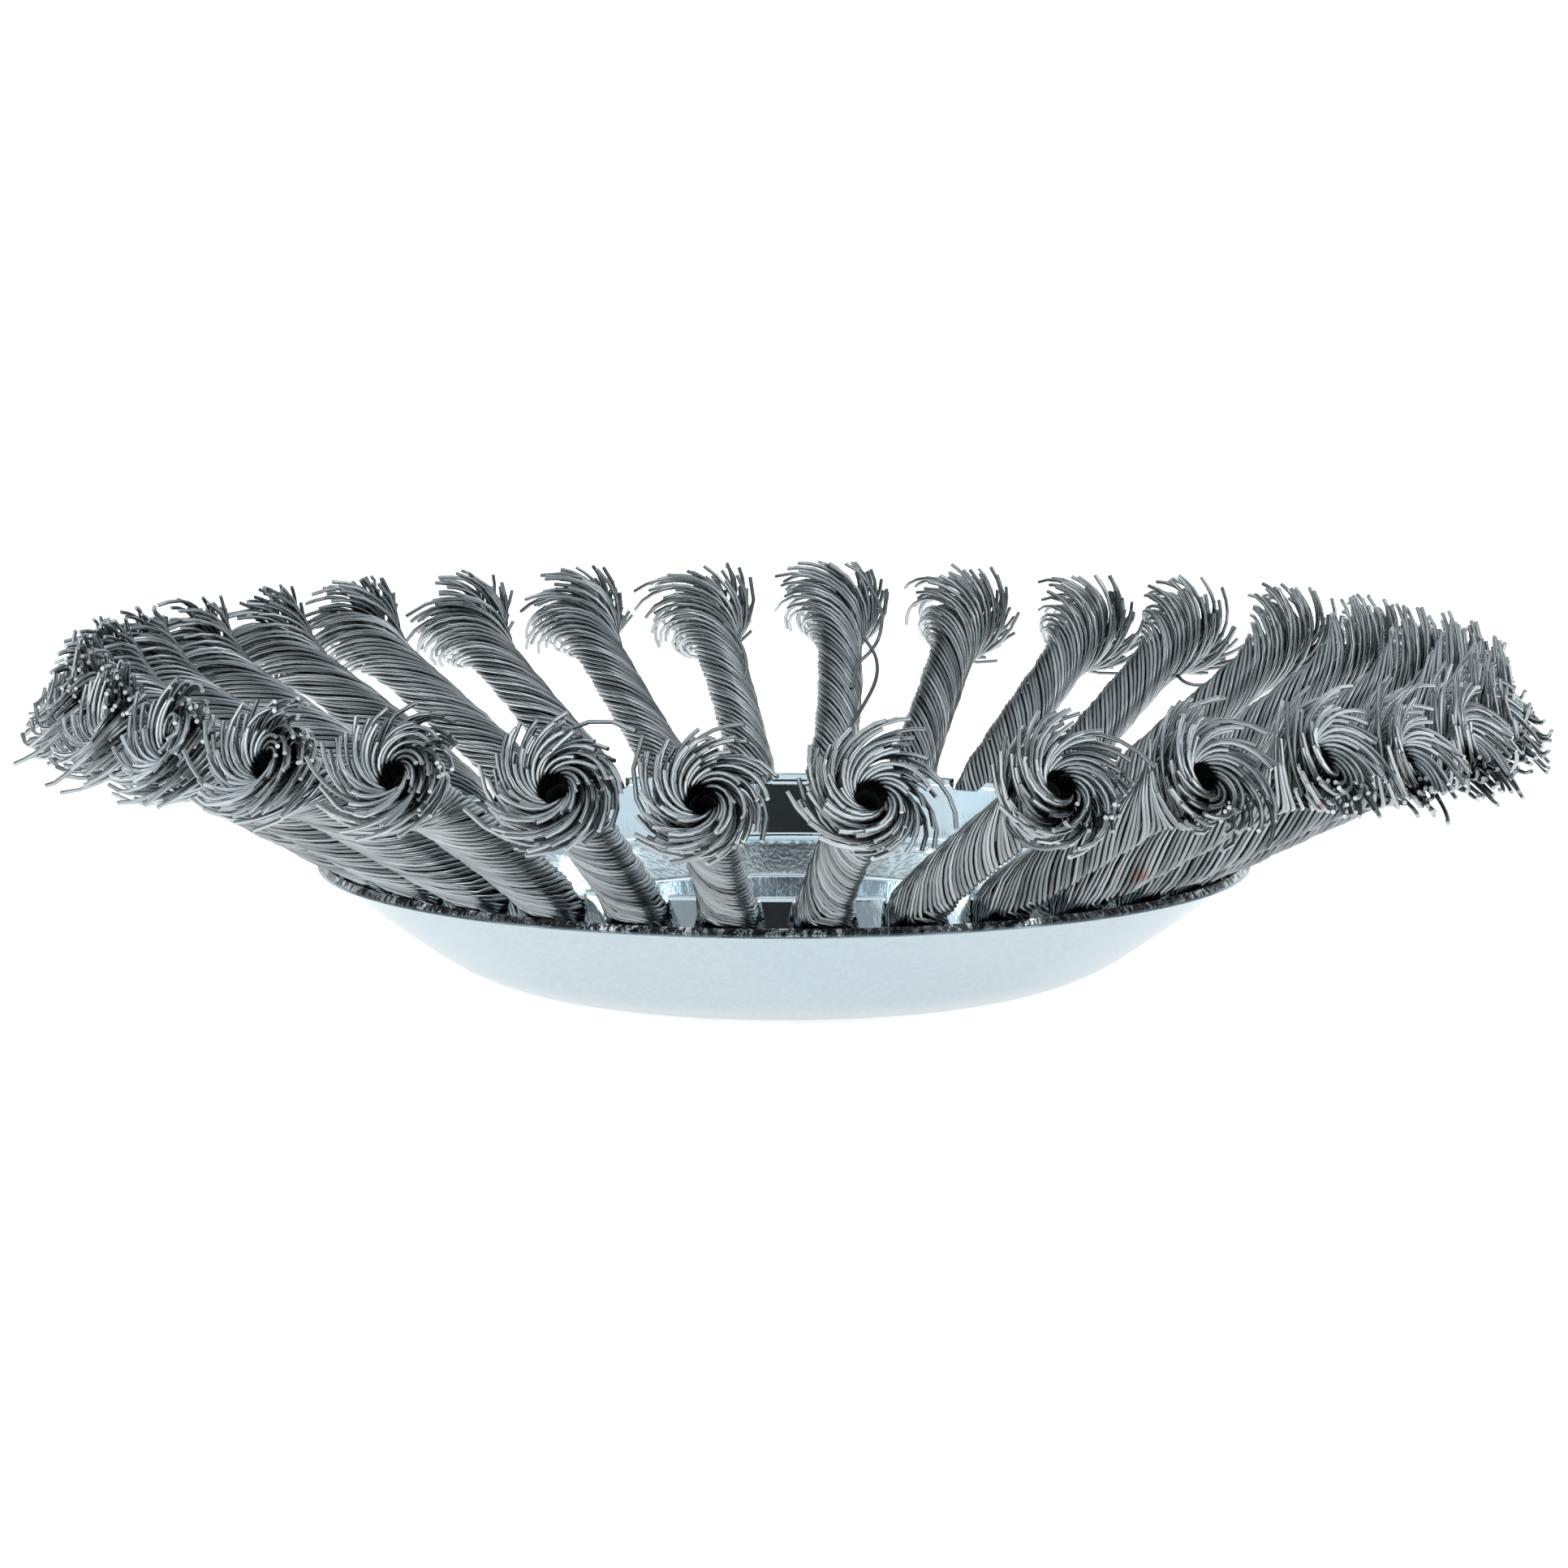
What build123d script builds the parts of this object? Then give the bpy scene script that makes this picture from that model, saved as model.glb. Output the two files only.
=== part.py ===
from build123d import *
import math
import os

# Wire weed brush: a saucer of two steel pressings that holds a circle of twisted wire knots.
# Millimetres, +Z up along the brush's axis, origin in the middle of the flat bottom face.

# Outer cup
bore_radius = 12.7
rim_radius = 62.5
flank_run = 22.0
cup_flank_angle = 34.8
cup_knee_bend = 24.0
cup_thickness = 1.3
rim_corner = 0.5

# Inner plate, given by the skin that faces up and towards the axis, from the rim inwards
plate_thickness = 0.8
rim_ledge = 5.8
crest_width = 2.7
wall_lean_run = 2.0
shelf_stand = 0.52
crest_rise = 9.1
shelf_fall = 1.7
well_inset = 4.0
well_draft = 1.0
finger_angle = 60.0
well_top_bend = 1.2
shelf_bend = 1.2
crest_bend = 1.5

# Fingers of the plate's outer wall, with a slot for a knot between each two
knot_count = 32
finger_crest_width = 4.9
finger_waist_width = 3.2
finger_foot_width = 2.6
slot_dip = 1.3

# Anchor ring, in the hollow under the crest
ring_wire_radius = 1.0
ring_sides = 6

# Knots
eye_gap = 0.15
leg_thickness = 1.0
seat_gap = 0.1
root_half_width = 3.5
root_flatness = 0.6
nose_reach = 0.9
throat_half_width = 3.8
throat_half_thickness = 2.9
throat_setback = 1.0
shank_radius = 3.4
shank_length = 41.0
flare_radius = 8.0
flare_lip_radius = 6.6
flare_lip_length = 3.0
tip_hole_radius = 1.5
tip_hole_depth = 12.0
hole_sides = 6
strand_count = 5
strand_groove = 0.2
twist_per_mm = 9.0

# The shank's profile: shares of its length, each with its share of the flare's widening
shank_profile = [(0.17, 0), (0.33, 0), (0.49, 0), (0.64, 0.08), (0.78, 0.32), (0.90, 0.75), (1.00, 1.00)]

# Each knot's own lean along the circle and rise above the horizontal, in degrees, counterclockwise
# from the first slot after -Y, as the knots of this brush stand
knot_set = [
    (2.5, 27.0), (6.0, 27.5), (8.0, 27.5), (9.0, 28.0), (6.0, 26.5), (6.0, 27.0), (3.5, 28.5),
    (0.5, 29.0), (2.0, 30.5), (2.5, 30.5), (1.0, 31.0), (1.5, 30.0), (3.0, 29.0), (0.5, 28.0),
    (1.0, 29.5), (1.0, 31.0), (5.5, 30.0), (8.0, 30.5), (8.0, 30.0), (9.5, 31.0), (7.5, 30.5),
    (5.5, 30.0), (2.5, 30.5), (0.0, 30.5), (-1.0, 30.0), (-2.5, 29.5), (-3.5, 29.0), (-2.5, 28.5),
    (0.5, 27.5), (2.5, 28.5), (4.5, 27.5), (2.5, 26.5),
]

# Places worked out from the sizes above
flank = math.radians(cup_flank_angle)
finger = math.radians(finger_angle)
cup_knee_radius = rim_radius - flank_run
cup_flat_radius = cup_knee_radius - cup_knee_bend * math.tan(flank / 2)
rim_height = flank_run * math.tan(flank)
rim_edge_radius = rim_radius - cup_thickness * math.sin(flank)
rim_edge_height = rim_height + cup_thickness * math.cos(flank)
hub_height = cup_thickness + plate_thickness
slot_pitch = 360 / knot_count
first_slot = -90 + slot_pitch / 2


def cup_inside_height(radius, gap=0.0):
    """Height of the cup's inner flank at a radius, or of a line that stays a gap above it."""
    return (radius - cup_knee_radius) * math.tan(flank) + (cup_thickness + gap) / math.cos(flank)


crest_outer_radius = rim_radius - rim_ledge
crest_inner_radius = crest_outer_radius - crest_width
shelf_outer_radius = crest_inner_radius - wall_lean_run
shelf_outer_height = cup_inside_height(shelf_outer_radius) + shelf_stand
crest_height = shelf_outer_height + crest_rise
dip_height = crest_height - slot_dip
well_floor_radius = cup_flat_radius - well_inset
well_top_radius = well_floor_radius + well_draft
well_top_height = shelf_outer_height - shelf_fall
wall_lean = math.atan2(wall_lean_run, crest_rise)


def wall_radius(height):
    """Radius of the upright wall's inner skin at a height."""
    return shelf_outer_radius + (height - shelf_outer_height) * math.tan(wall_lean)


def bent_line(corners, bends):
    """The corners of a bent sheet's skin, with each bend given as its radius and its number of chords."""
    points = [corners[0]]
    for i, (radius, chords) in enumerate(bends):
        corner = corners[i + 1]
        back = (corners[i] - corner).normalized()
        ahead = (corners[i + 2] - corner).normalized()
        half = math.radians(back.get_angle(ahead) / 2)
        centre = corner + (back + ahead).normalized() * (radius / math.sin(half))
        start = corner + back * (radius / math.tan(half)) - centre
        turn = math.copysign(180 - 2 * math.degrees(half), start.cross(ahead).Z)
        points += [centre + start.rotate(Axis.Z, turn * k / chords) for k in range(chords + 1)]
    return points + [corners[-1]]


def parallel(points, distance):
    """The corners of a line that runs beside the given one, a distance to its left."""
    moved = []
    for i, point in enumerate(points):
        before = points[max(i - 1, 0)]
        after = points[min(i + 1, len(points) - 1)]
        into = (point - before).normalized() if i > 0 else (after - point).normalized()
        out = (after - point).normalized() if i < len(points) - 1 else into
        normal = Vector(-into.Y - out.Y, into.X + out.X).normalized()
        moved.append(point + normal * (distance / normal.dot(Vector(-into.Y, into.X))))
    return moved


def revolved(section):
    """A full turn of a section that is drawn as radius and height."""
    return revolve(Plane.XZ * section, Axis.Z)


def make_outer_cup():
    skin = [Vector(bore_radius, 0), Vector(cup_knee_radius, 0), Vector(rim_radius, rim_height)]
    inside = parallel(skin, cup_thickness)
    outer_skin = bent_line(skin, [(cup_knee_bend, 3)])
    inner_skin = bent_line(inside, [(cup_knee_bend - cup_thickness, 3)])
    section = make_face(Polyline(*outer_skin, *reversed(inner_skin), close=True))
    rim_point = section.vertices().sort_by(Axis.X)[-1]
    return revolved(chamfer(rim_point, rim_corner))


def plate_floor_section():
    """The inner plate's section from the bore to the bottom of the dips, sharp where it is hidden."""
    skin = [
        Vector(bore_radius, hub_height),
        Vector(well_floor_radius, hub_height),
        Vector(well_top_radius, well_top_height),
        Vector(shelf_outer_radius, shelf_outer_height),
        Vector(wall_radius(dip_height), dip_height),
    ]
    under = parallel(skin, -plate_thickness)
    under[-1] = Vector(wall_radius(dip_height) + plate_thickness / math.cos(wall_lean), dip_height)
    upper = skin[:1] + bent_line(skin[1:], [(well_top_bend, 1), (shelf_bend, 1)])
    section = make_face(Polyline(*upper, *reversed(under), close=True))
    seat_start = Vector(cup_knee_radius, cup_inside_height(cup_knee_radius, seat_gap))
    seat_end = Vector(rim_radius, cup_inside_height(rim_radius, seat_gap))
    return section - Polygon(seat_start, seat_end, (rim_radius, 0), (cup_knee_radius, 0), align=None)


def finger_section():
    """A finger's section: up from the dip, over the crest and down to the cup, where it stands."""
    crest_corner = Vector(crest_outer_radius, crest_height)
    down = Vector(math.cos(finger), -math.sin(finger))
    skin = [
        Vector(wall_radius(dip_height), dip_height),
        Vector(crest_inner_radius, crest_height),
        crest_corner,
    ]
    seat_normal = Vector(-math.sin(flank), math.cos(flank))
    seat_point = Vector(rim_radius, cup_inside_height(rim_radius, seat_gap))
    reach = (seat_point - crest_corner).dot(seat_normal) / down.dot(seat_normal)
    skin.append(crest_corner + down * reach)
    under = parallel(skin, -plate_thickness)
    under[0] = Vector(wall_radius(dip_height) + plate_thickness / math.cos(wall_lean), dip_height)
    under_reach = (seat_point - under[2]).dot(seat_normal) / down.dot(seat_normal)
    under[3] = under[2] + down * under_reach
    upper = bent_line(skin, [(crest_bend, 1), (crest_bend, 1)])
    return make_face(Polyline(*upper, *reversed(under), close=True))


def make_finger():
    """A finger at +X: wide at the crest, with a waist level with the cup's rim, and narrow at its foot."""
    strip = extrude(Plane.XZ * finger_section(), finger_crest_width / 2, both=True)
    foot_height = cup_inside_height(crest_outer_radius)
    outline = Polygon(
        (-finger_foot_width / 2, foot_height),
        (finger_foot_width / 2, foot_height),
        (finger_waist_width / 2, rim_edge_height),
        (finger_crest_width / 2, crest_height),
        (-finger_crest_width / 2, crest_height),
        (-finger_waist_width / 2, rim_edge_height),
        align=None,
    )
    return strip & extrude(Plane.YZ * outline, rim_radius)


def make_inner_plate():
    one = make_finger()
    fingers = [Rot(Z=-90 + i * slot_pitch) * one for i in range(knot_count)]
    return revolved(plate_floor_section()) + fingers


def ring_place():
    """Radius and height of the anchor ring's wire, with room for a leg beside the wall and the cup."""
    room = seat_gap + leg_thickness + eye_gap + ring_wire_radius
    start = wall_radius(0) + (plate_thickness + room) / math.cos(wall_lean)
    height = cup_inside_height(start, room) / (1 - math.tan(flank) * math.tan(wall_lean))
    return start + height * math.tan(wall_lean), height


def make_anchor_ring():
    radius, height = ring_place()
    return revolved(Pos(radius, height) * RegularPolygon(ring_wire_radius, ring_sides))


def strand_ring(plane, half_width, half_thickness, turn):
    """The corners of a bundle of strands, across its axis: a lobe for each strand, turned about it."""
    points = []
    for i in range(2 * strand_count):
        angle = math.radians(turn + i * 180 / strand_count)
        reach = 1 - strand_groove * (i % 2)
        local = Vector(half_width * reach * math.cos(angle), half_thickness * reach * math.sin(angle))
        points.append(plane.from_local_coords(local))
    return points


def flat_face(*points):
    return Face(Wire.make_polygon(points, close=True))


def twisted_solid(rings):
    """A solid of flat facets through rings of corners, which are turned against each other."""
    faces = [flat_face(*rings[0]), flat_face(*rings[-1])]
    for low, high in zip(rings, rings[1:]):
        for i in range(len(low)):
            j = (i + 1) % len(low)
            faces.append(flat_face(low[i], low[j], high[i]))
            faces.append(flat_face(low[j], high[j], high[i]))
    return Solid(Shell(faces))


def knot_throat(rise):
    """Radius and height of a knot's axis at the rim, where it lies on the rim's inner edge."""
    standing_off = throat_half_thickness + seat_gap
    radius = rim_edge_radius - standing_off * math.sin(rise) - throat_setback * math.cos(rise)
    height = rim_edge_height + standing_off * math.cos(rise) - throat_setback * math.sin(rise)
    return radius, height


def make_knot(lean_degrees, rise_degrees):
    """A knot at +X: its eye is round the anchor ring, and its shank leans sideways and rises outwards."""
    lean, rise = math.radians(lean_degrees), math.radians(rise_degrees)
    ring_radius, ring_height = ring_place()
    throat_radius, throat_height = knot_throat(rise)
    eye = Vector(ring_radius, 0, ring_height)
    throat = Vector(throat_radius, 0, throat_height)
    leg = (throat - eye).normalized()
    axis = Vector(math.cos(rise) * math.cos(lean), math.cos(rise) * math.sin(lean), math.sin(rise))
    elbow = (leg + axis).normalized()
    eye_radius = ring_wire_radius + eye_gap
    bend_radius = eye_radius + leg_thickness

    # Along the axis: place, direction, half width, half thickness, and distance for the twist
    leg_length = (throat - eye).length
    stations = [
        (eye - leg * bend_radius * nose_reach, leg, root_half_width, bend_radius * root_flatness, 0.0),
        (throat, elbow, throat_half_width, throat_half_thickness, leg_length / 2),
    ]
    for share, widening in shank_profile:
        along = share * shank_length
        radius = shank_radius + (flare_radius - shank_radius) * widening
        stations.append((throat + axis * along, axis, radius, radius, leg_length / 2 + along))
    lip = shank_length + flare_lip_length
    tip = throat + axis * lip
    stations.append((tip, axis, flare_lip_radius, flare_lip_radius, leg_length / 2 + lip))

    across = Vector(0, 1, 0)
    rings = []
    for place, direction, half_width, half_thickness, travel in stations:
        side = (across - direction * across.dot(direction)).normalized()
        plane = Plane(origin=place, x_dir=side, z_dir=direction)
        rings.append(strand_ring(plane, half_width, half_thickness, -travel * twist_per_mm))
    bundle = twisted_solid(rings)

    eye_plane = Plane(origin=eye - across * 2 * root_half_width, x_dir=leg, z_dir=across)
    eye_outline = eye_plane * RegularPolygon(eye_radius, hole_sides, major_radius=False)
    mouth = Plane(origin=tip, z_dir=axis) * RegularPolygon(tip_hole_radius, hole_sides)
    return bundle - extrude(eye_outline, 4 * root_half_width) - extrude(mouth, -tip_hole_depth)


def main():
    os.makedirs("parts", exist_ok=True)
    export_step(make_outer_cup(), "parts/outer_cup.step")
    export_step(make_inner_plate(), "parts/inner_plate.step")
    export_step(make_anchor_ring(), "parts/anchor_ring.step")
    for i in range(knot_count):
        knot = Rot(Z=first_slot + i * slot_pitch) * make_knot(*knot_set[i % len(knot_set)])
        export_step(knot, f"parts/knot_{i + 1:02d}.step")


main()
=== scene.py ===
"""Looks of a wire weed brush: two plated steel pressings that hold a circle of twisted wire knots.

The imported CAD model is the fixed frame. The pressings and the knots are rebuilt here as fine meshes on the
same sizes and stand for their CAD nodes. Lengths in the classes are millimetres and become metres in the
meshes.
"""

import logging
import math
from dataclasses import dataclass
from enum import Enum
from typing import Any, Sequence

import bmesh
import bpy
import numpy as np
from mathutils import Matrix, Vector


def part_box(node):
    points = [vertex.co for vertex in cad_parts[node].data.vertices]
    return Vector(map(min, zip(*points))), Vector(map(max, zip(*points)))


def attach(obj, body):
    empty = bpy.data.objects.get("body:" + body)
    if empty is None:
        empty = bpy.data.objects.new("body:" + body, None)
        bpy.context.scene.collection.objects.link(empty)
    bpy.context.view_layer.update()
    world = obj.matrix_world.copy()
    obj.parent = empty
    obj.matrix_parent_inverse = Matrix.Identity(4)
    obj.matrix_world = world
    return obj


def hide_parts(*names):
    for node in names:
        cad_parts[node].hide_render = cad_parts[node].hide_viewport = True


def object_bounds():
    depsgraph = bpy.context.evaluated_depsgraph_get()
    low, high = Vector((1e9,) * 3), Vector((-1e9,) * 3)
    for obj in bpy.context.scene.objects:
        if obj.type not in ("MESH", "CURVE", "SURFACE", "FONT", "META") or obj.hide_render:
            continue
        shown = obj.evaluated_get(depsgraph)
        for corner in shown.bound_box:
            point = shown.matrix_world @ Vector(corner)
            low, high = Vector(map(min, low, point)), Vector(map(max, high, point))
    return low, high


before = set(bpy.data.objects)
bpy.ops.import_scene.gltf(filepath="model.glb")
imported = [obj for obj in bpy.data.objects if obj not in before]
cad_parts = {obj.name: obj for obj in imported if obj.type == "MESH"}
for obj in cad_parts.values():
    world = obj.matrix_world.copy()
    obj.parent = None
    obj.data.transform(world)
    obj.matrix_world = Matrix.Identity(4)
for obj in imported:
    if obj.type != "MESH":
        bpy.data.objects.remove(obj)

Colour = tuple[float, float, float]
Place = tuple[float, float, float]
Pair = tuple[float, float]
Line = tuple[np.ndarray, np.ndarray, np.ndarray, np.ndarray]

MM = 0.001
CAD_BOX = [[float(x) for x in corner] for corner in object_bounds()]
BODY = "root"
log = logging.getLogger("weed_brush")


# Mesh helpers


def unit(vectors: np.ndarray) -> np.ndarray:
    """Each vector divided by its own length, along the last axis."""
    return vectors / np.maximum(np.linalg.norm(vectors, axis=-1, keepdims=True), 1e-12)


def smoothstep(low: float, high: float, value: np.ndarray) -> np.ndarray:
    """Smooth rise from 0 to 1 between low and high: 3 t^2 - 2 t^3."""
    t = np.clip((value - low) / (high - low), 0.0, 1.0)
    return t * t * (3 - 2 * t)


def ring_points(radius: np.ndarray, angle: np.ndarray, height: np.ndarray) -> np.ndarray:
    """Points (radius cos angle, radius sin angle, height) round the Z axis, angles in radians."""
    return np.stack(np.broadcast_arrays(radius * np.cos(angle), radius * np.sin(angle), height), -1)


def closed(index: np.ndarray) -> np.ndarray:
    """A grid of indices with its first column repeated after its last, so that it closes on itself."""
    return np.concatenate([index, index[..., :1]], axis=-1)


def quads_of(index: np.ndarray) -> np.ndarray:
    """The quads between neighbours in grids of indices, whose last two axes are rows and columns."""
    corners = [index[..., :-1, :-1], index[..., :-1, 1:], index[..., 1:, 1:], index[..., 1:, :-1]]
    return np.stack(corners, -1).reshape(-1, 4)


def tube_faces(index: np.ndarray) -> list[np.ndarray]:
    """Quads and two end caps of tubes, from indices with rows along a tube and columns round it."""
    near, far = index[..., 0, ::-1], index[..., -1, :]
    return [quads_of(closed(index)), *(end.reshape(-1, index.shape[-1]) for end in (near, far))]


class Patchwork:
    """A mesh under construction: grids of points with their marks, and faces of point indices."""

    def __init__(self) -> None:
        """Starts without a point."""
        self.points: list[np.ndarray] = []
        self.faces: list[np.ndarray] = []
        self.marks: dict[str, list[np.ndarray]] = {}

    def add(self, points: np.ndarray, **marks: Any) -> np.ndarray:
        """Adds a grid of points.

        Args:
            points: the grid in millimetres, with the coordinates on its last axis.
            marks: values by the name of a mesh attribute, which spread over the grid.

        Returns:
            The grid of the points' indices.
        """
        first = sum(len(block) for block in self.points)
        shape = points.shape[:-1]
        self.points.append(points.reshape(-1, 3))
        for key, values in marks.items():
            self.marks.setdefault(key, []).append(np.broadcast_to(values, shape).ravel())
        return first + np.arange(len(self.points[-1])).reshape(shape)

    def build(self, name: str, sharp_angle: float = 35.0) -> bpy.types.Object:
        """Makes a mesh object at the origin and links it to the scene.

        Args:
            name: the object's name.
            sharp_angle: edges that turn by more degrees than this are shaded as sharp.

        Returns:
            The new object.
        """
        mesh = bpy.data.meshes.new(name)
        points = np.concatenate(self.points) * MM
        mesh.vertices.add(len(points))
        mesh.vertices.foreach_set("co", points.astype(np.float32).ravel())
        corners = np.concatenate([faces.ravel() for faces in self.faces])
        counts = np.concatenate([np.full(len(faces), faces.shape[1]) for faces in self.faces])
        mesh.loops.add(len(corners))
        mesh.loops.foreach_set("vertex_index", corners.astype(np.int32))
        mesh.polygons.add(len(counts))
        mesh.polygons.foreach_set("loop_start", (np.cumsum(counts) - counts).astype(np.int32))
        for key, values in self.marks.items():
            layer = mesh.attributes.new(key, "FLOAT", "POINT")
            layer.data.foreach_set("value", np.concatenate(values).astype(np.float32))
        mesh.update(calc_edges=True)
        mesh.validate()
        mesh.shade_smooth()
        mesh.set_sharp_from_angle(angle=math.radians(sharp_angle))
        piece = bpy.data.objects.new(name, mesh)
        bpy.context.scene.collection.objects.link(piece)
        return piece


def weld(piece: bpy.types.Object, distance: float = 1e-6) -> None:
    """Merges a piece's points that lie on each other and turns its faces outwards.

    Args:
        piece: the piece.
        distance: how close points are merged, metres.
    """
    work = bmesh.new()
    work.from_mesh(piece.data)
    bmesh.ops.remove_doubles(work, verts=work.verts, dist=distance)
    bmesh.ops.recalc_face_normals(work, faces=work.faces)
    work.to_mesh(piece.data)
    work.free()
    piece.data.update()


def rounded_line(
    corners: Sequence[Pair], radii: Sequence[float], step: float, margin: float = 0.15
) -> np.ndarray:
    """A line in radius and height whose inner corners are arcs, with a point close to each arc's ends.

    An arc's centre lies on the corner's bisector at radius / sin(half angle), and its points turn about the
    centre in even steps.

    Args:
        corners: the line's corners, from its start to its end.
        radii: the arc's radius for each inner corner.
        step: degrees between an arc's points.
        margin: distance from an arc's end to the point that holds the flat's shading.

    Returns:
        The points of the line, one row each.
    """
    line = np.array(corners, float)
    points = [line[:1]]
    for k, radius in enumerate(radii):
        corner = line[k + 1]
        back, ahead = unit(line[k] - corner), unit(line[k + 2] - corner)
        half = math.acos(np.clip(back @ ahead, -1, 1)) / 2
        centre = corner + unit(back + ahead) * radius / math.sin(half)
        start = corner + back * radius / math.tan(half)
        end = corner + ahead * radius / math.tan(half)
        turn = math.copysign(math.pi - 2 * half, np.cross(start - centre, ahead))
        count = max(2, math.ceil(abs(math.degrees(turn)) / step))
        angle = turn * np.arange(count + 1)[:, None] / count
        spoke = start - centre
        across = np.array([-spoke[1], spoke[0]])
        arc = centre + spoke * np.cos(angle) + across * np.sin(angle)
        points += [(start + back * margin)[None], arc, (end + ahead * margin)[None]]
    points.append(line[-1:])
    return np.concatenate(points)


# Shader helpers


class Value:
    """A shader socket on which Python's operators add Math nodes."""

    def __init__(self, shader: "Shader", socket: bpy.types.NodeSocket) -> None:
        """Wraps one output socket of a node in a shader."""
        self.shader = shader
        self.socket = socket

    def math(self, operation: str, *others: "Value | float", clamp: bool = False) -> "Value":
        """A Math node of an operation on this value and others."""
        settings = {"operation": operation, "use_clamp": clamp}
        return self.shader.node("ShaderNodeMath", settings, dict(enumerate((self, *others))))

    def __add__(self, other: "Value | float") -> "Value":
        """self + other, and other + self."""
        return self.math("ADD", other)

    __radd__ = __add__

    def __sub__(self, other: "Value | float") -> "Value":
        """self - other."""
        return self.math("SUBTRACT", other)

    def __rsub__(self, other: float) -> "Value":
        """other - self."""
        return self.shader.node("ShaderNodeMath", {"operation": "SUBTRACT"}, {0: other, 1: self})

    def __mul__(self, other: "Value | float") -> "Value":
        """self * other, and other * self."""
        return self.math("MULTIPLY", other)

    __rmul__ = __mul__

    def __truediv__(self, other: "Value | float") -> "Value":
        """self / other."""
        return self.math("DIVIDE", other)

    def __pow__(self, other: float) -> "Value":
        """self raised to a power."""
        return self.math("POWER", other)

    def above(self, edge: float, width: float) -> "Value":
        """A smooth mask: 0 below edge - width, 1 above edge + width."""
        links = {0: self, 1: edge - width, 2: edge + width, 3: 0.0, 4: 1.0}
        return self.shader.node("ShaderNodeMapRange", {"interpolation_type": "SMOOTHSTEP"}, links)

    def swing(self, amount: float) -> "Value":
        """A noise pattern as a change to both sides: (self - 0.5) * amount."""
        return (self - 0.5) * amount

    def clamped(self) -> "Value":
        """The value kept between 0 and 1."""
        return self.math("ADD", 0.0, clamp=True)


@dataclass(frozen=True)
class Noise:
    """A noise pattern: features per metre, octaves, and what each octave keeps of the one before."""

    scale: float
    detail: float = 2.0
    roughness: float = 0.5


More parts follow.
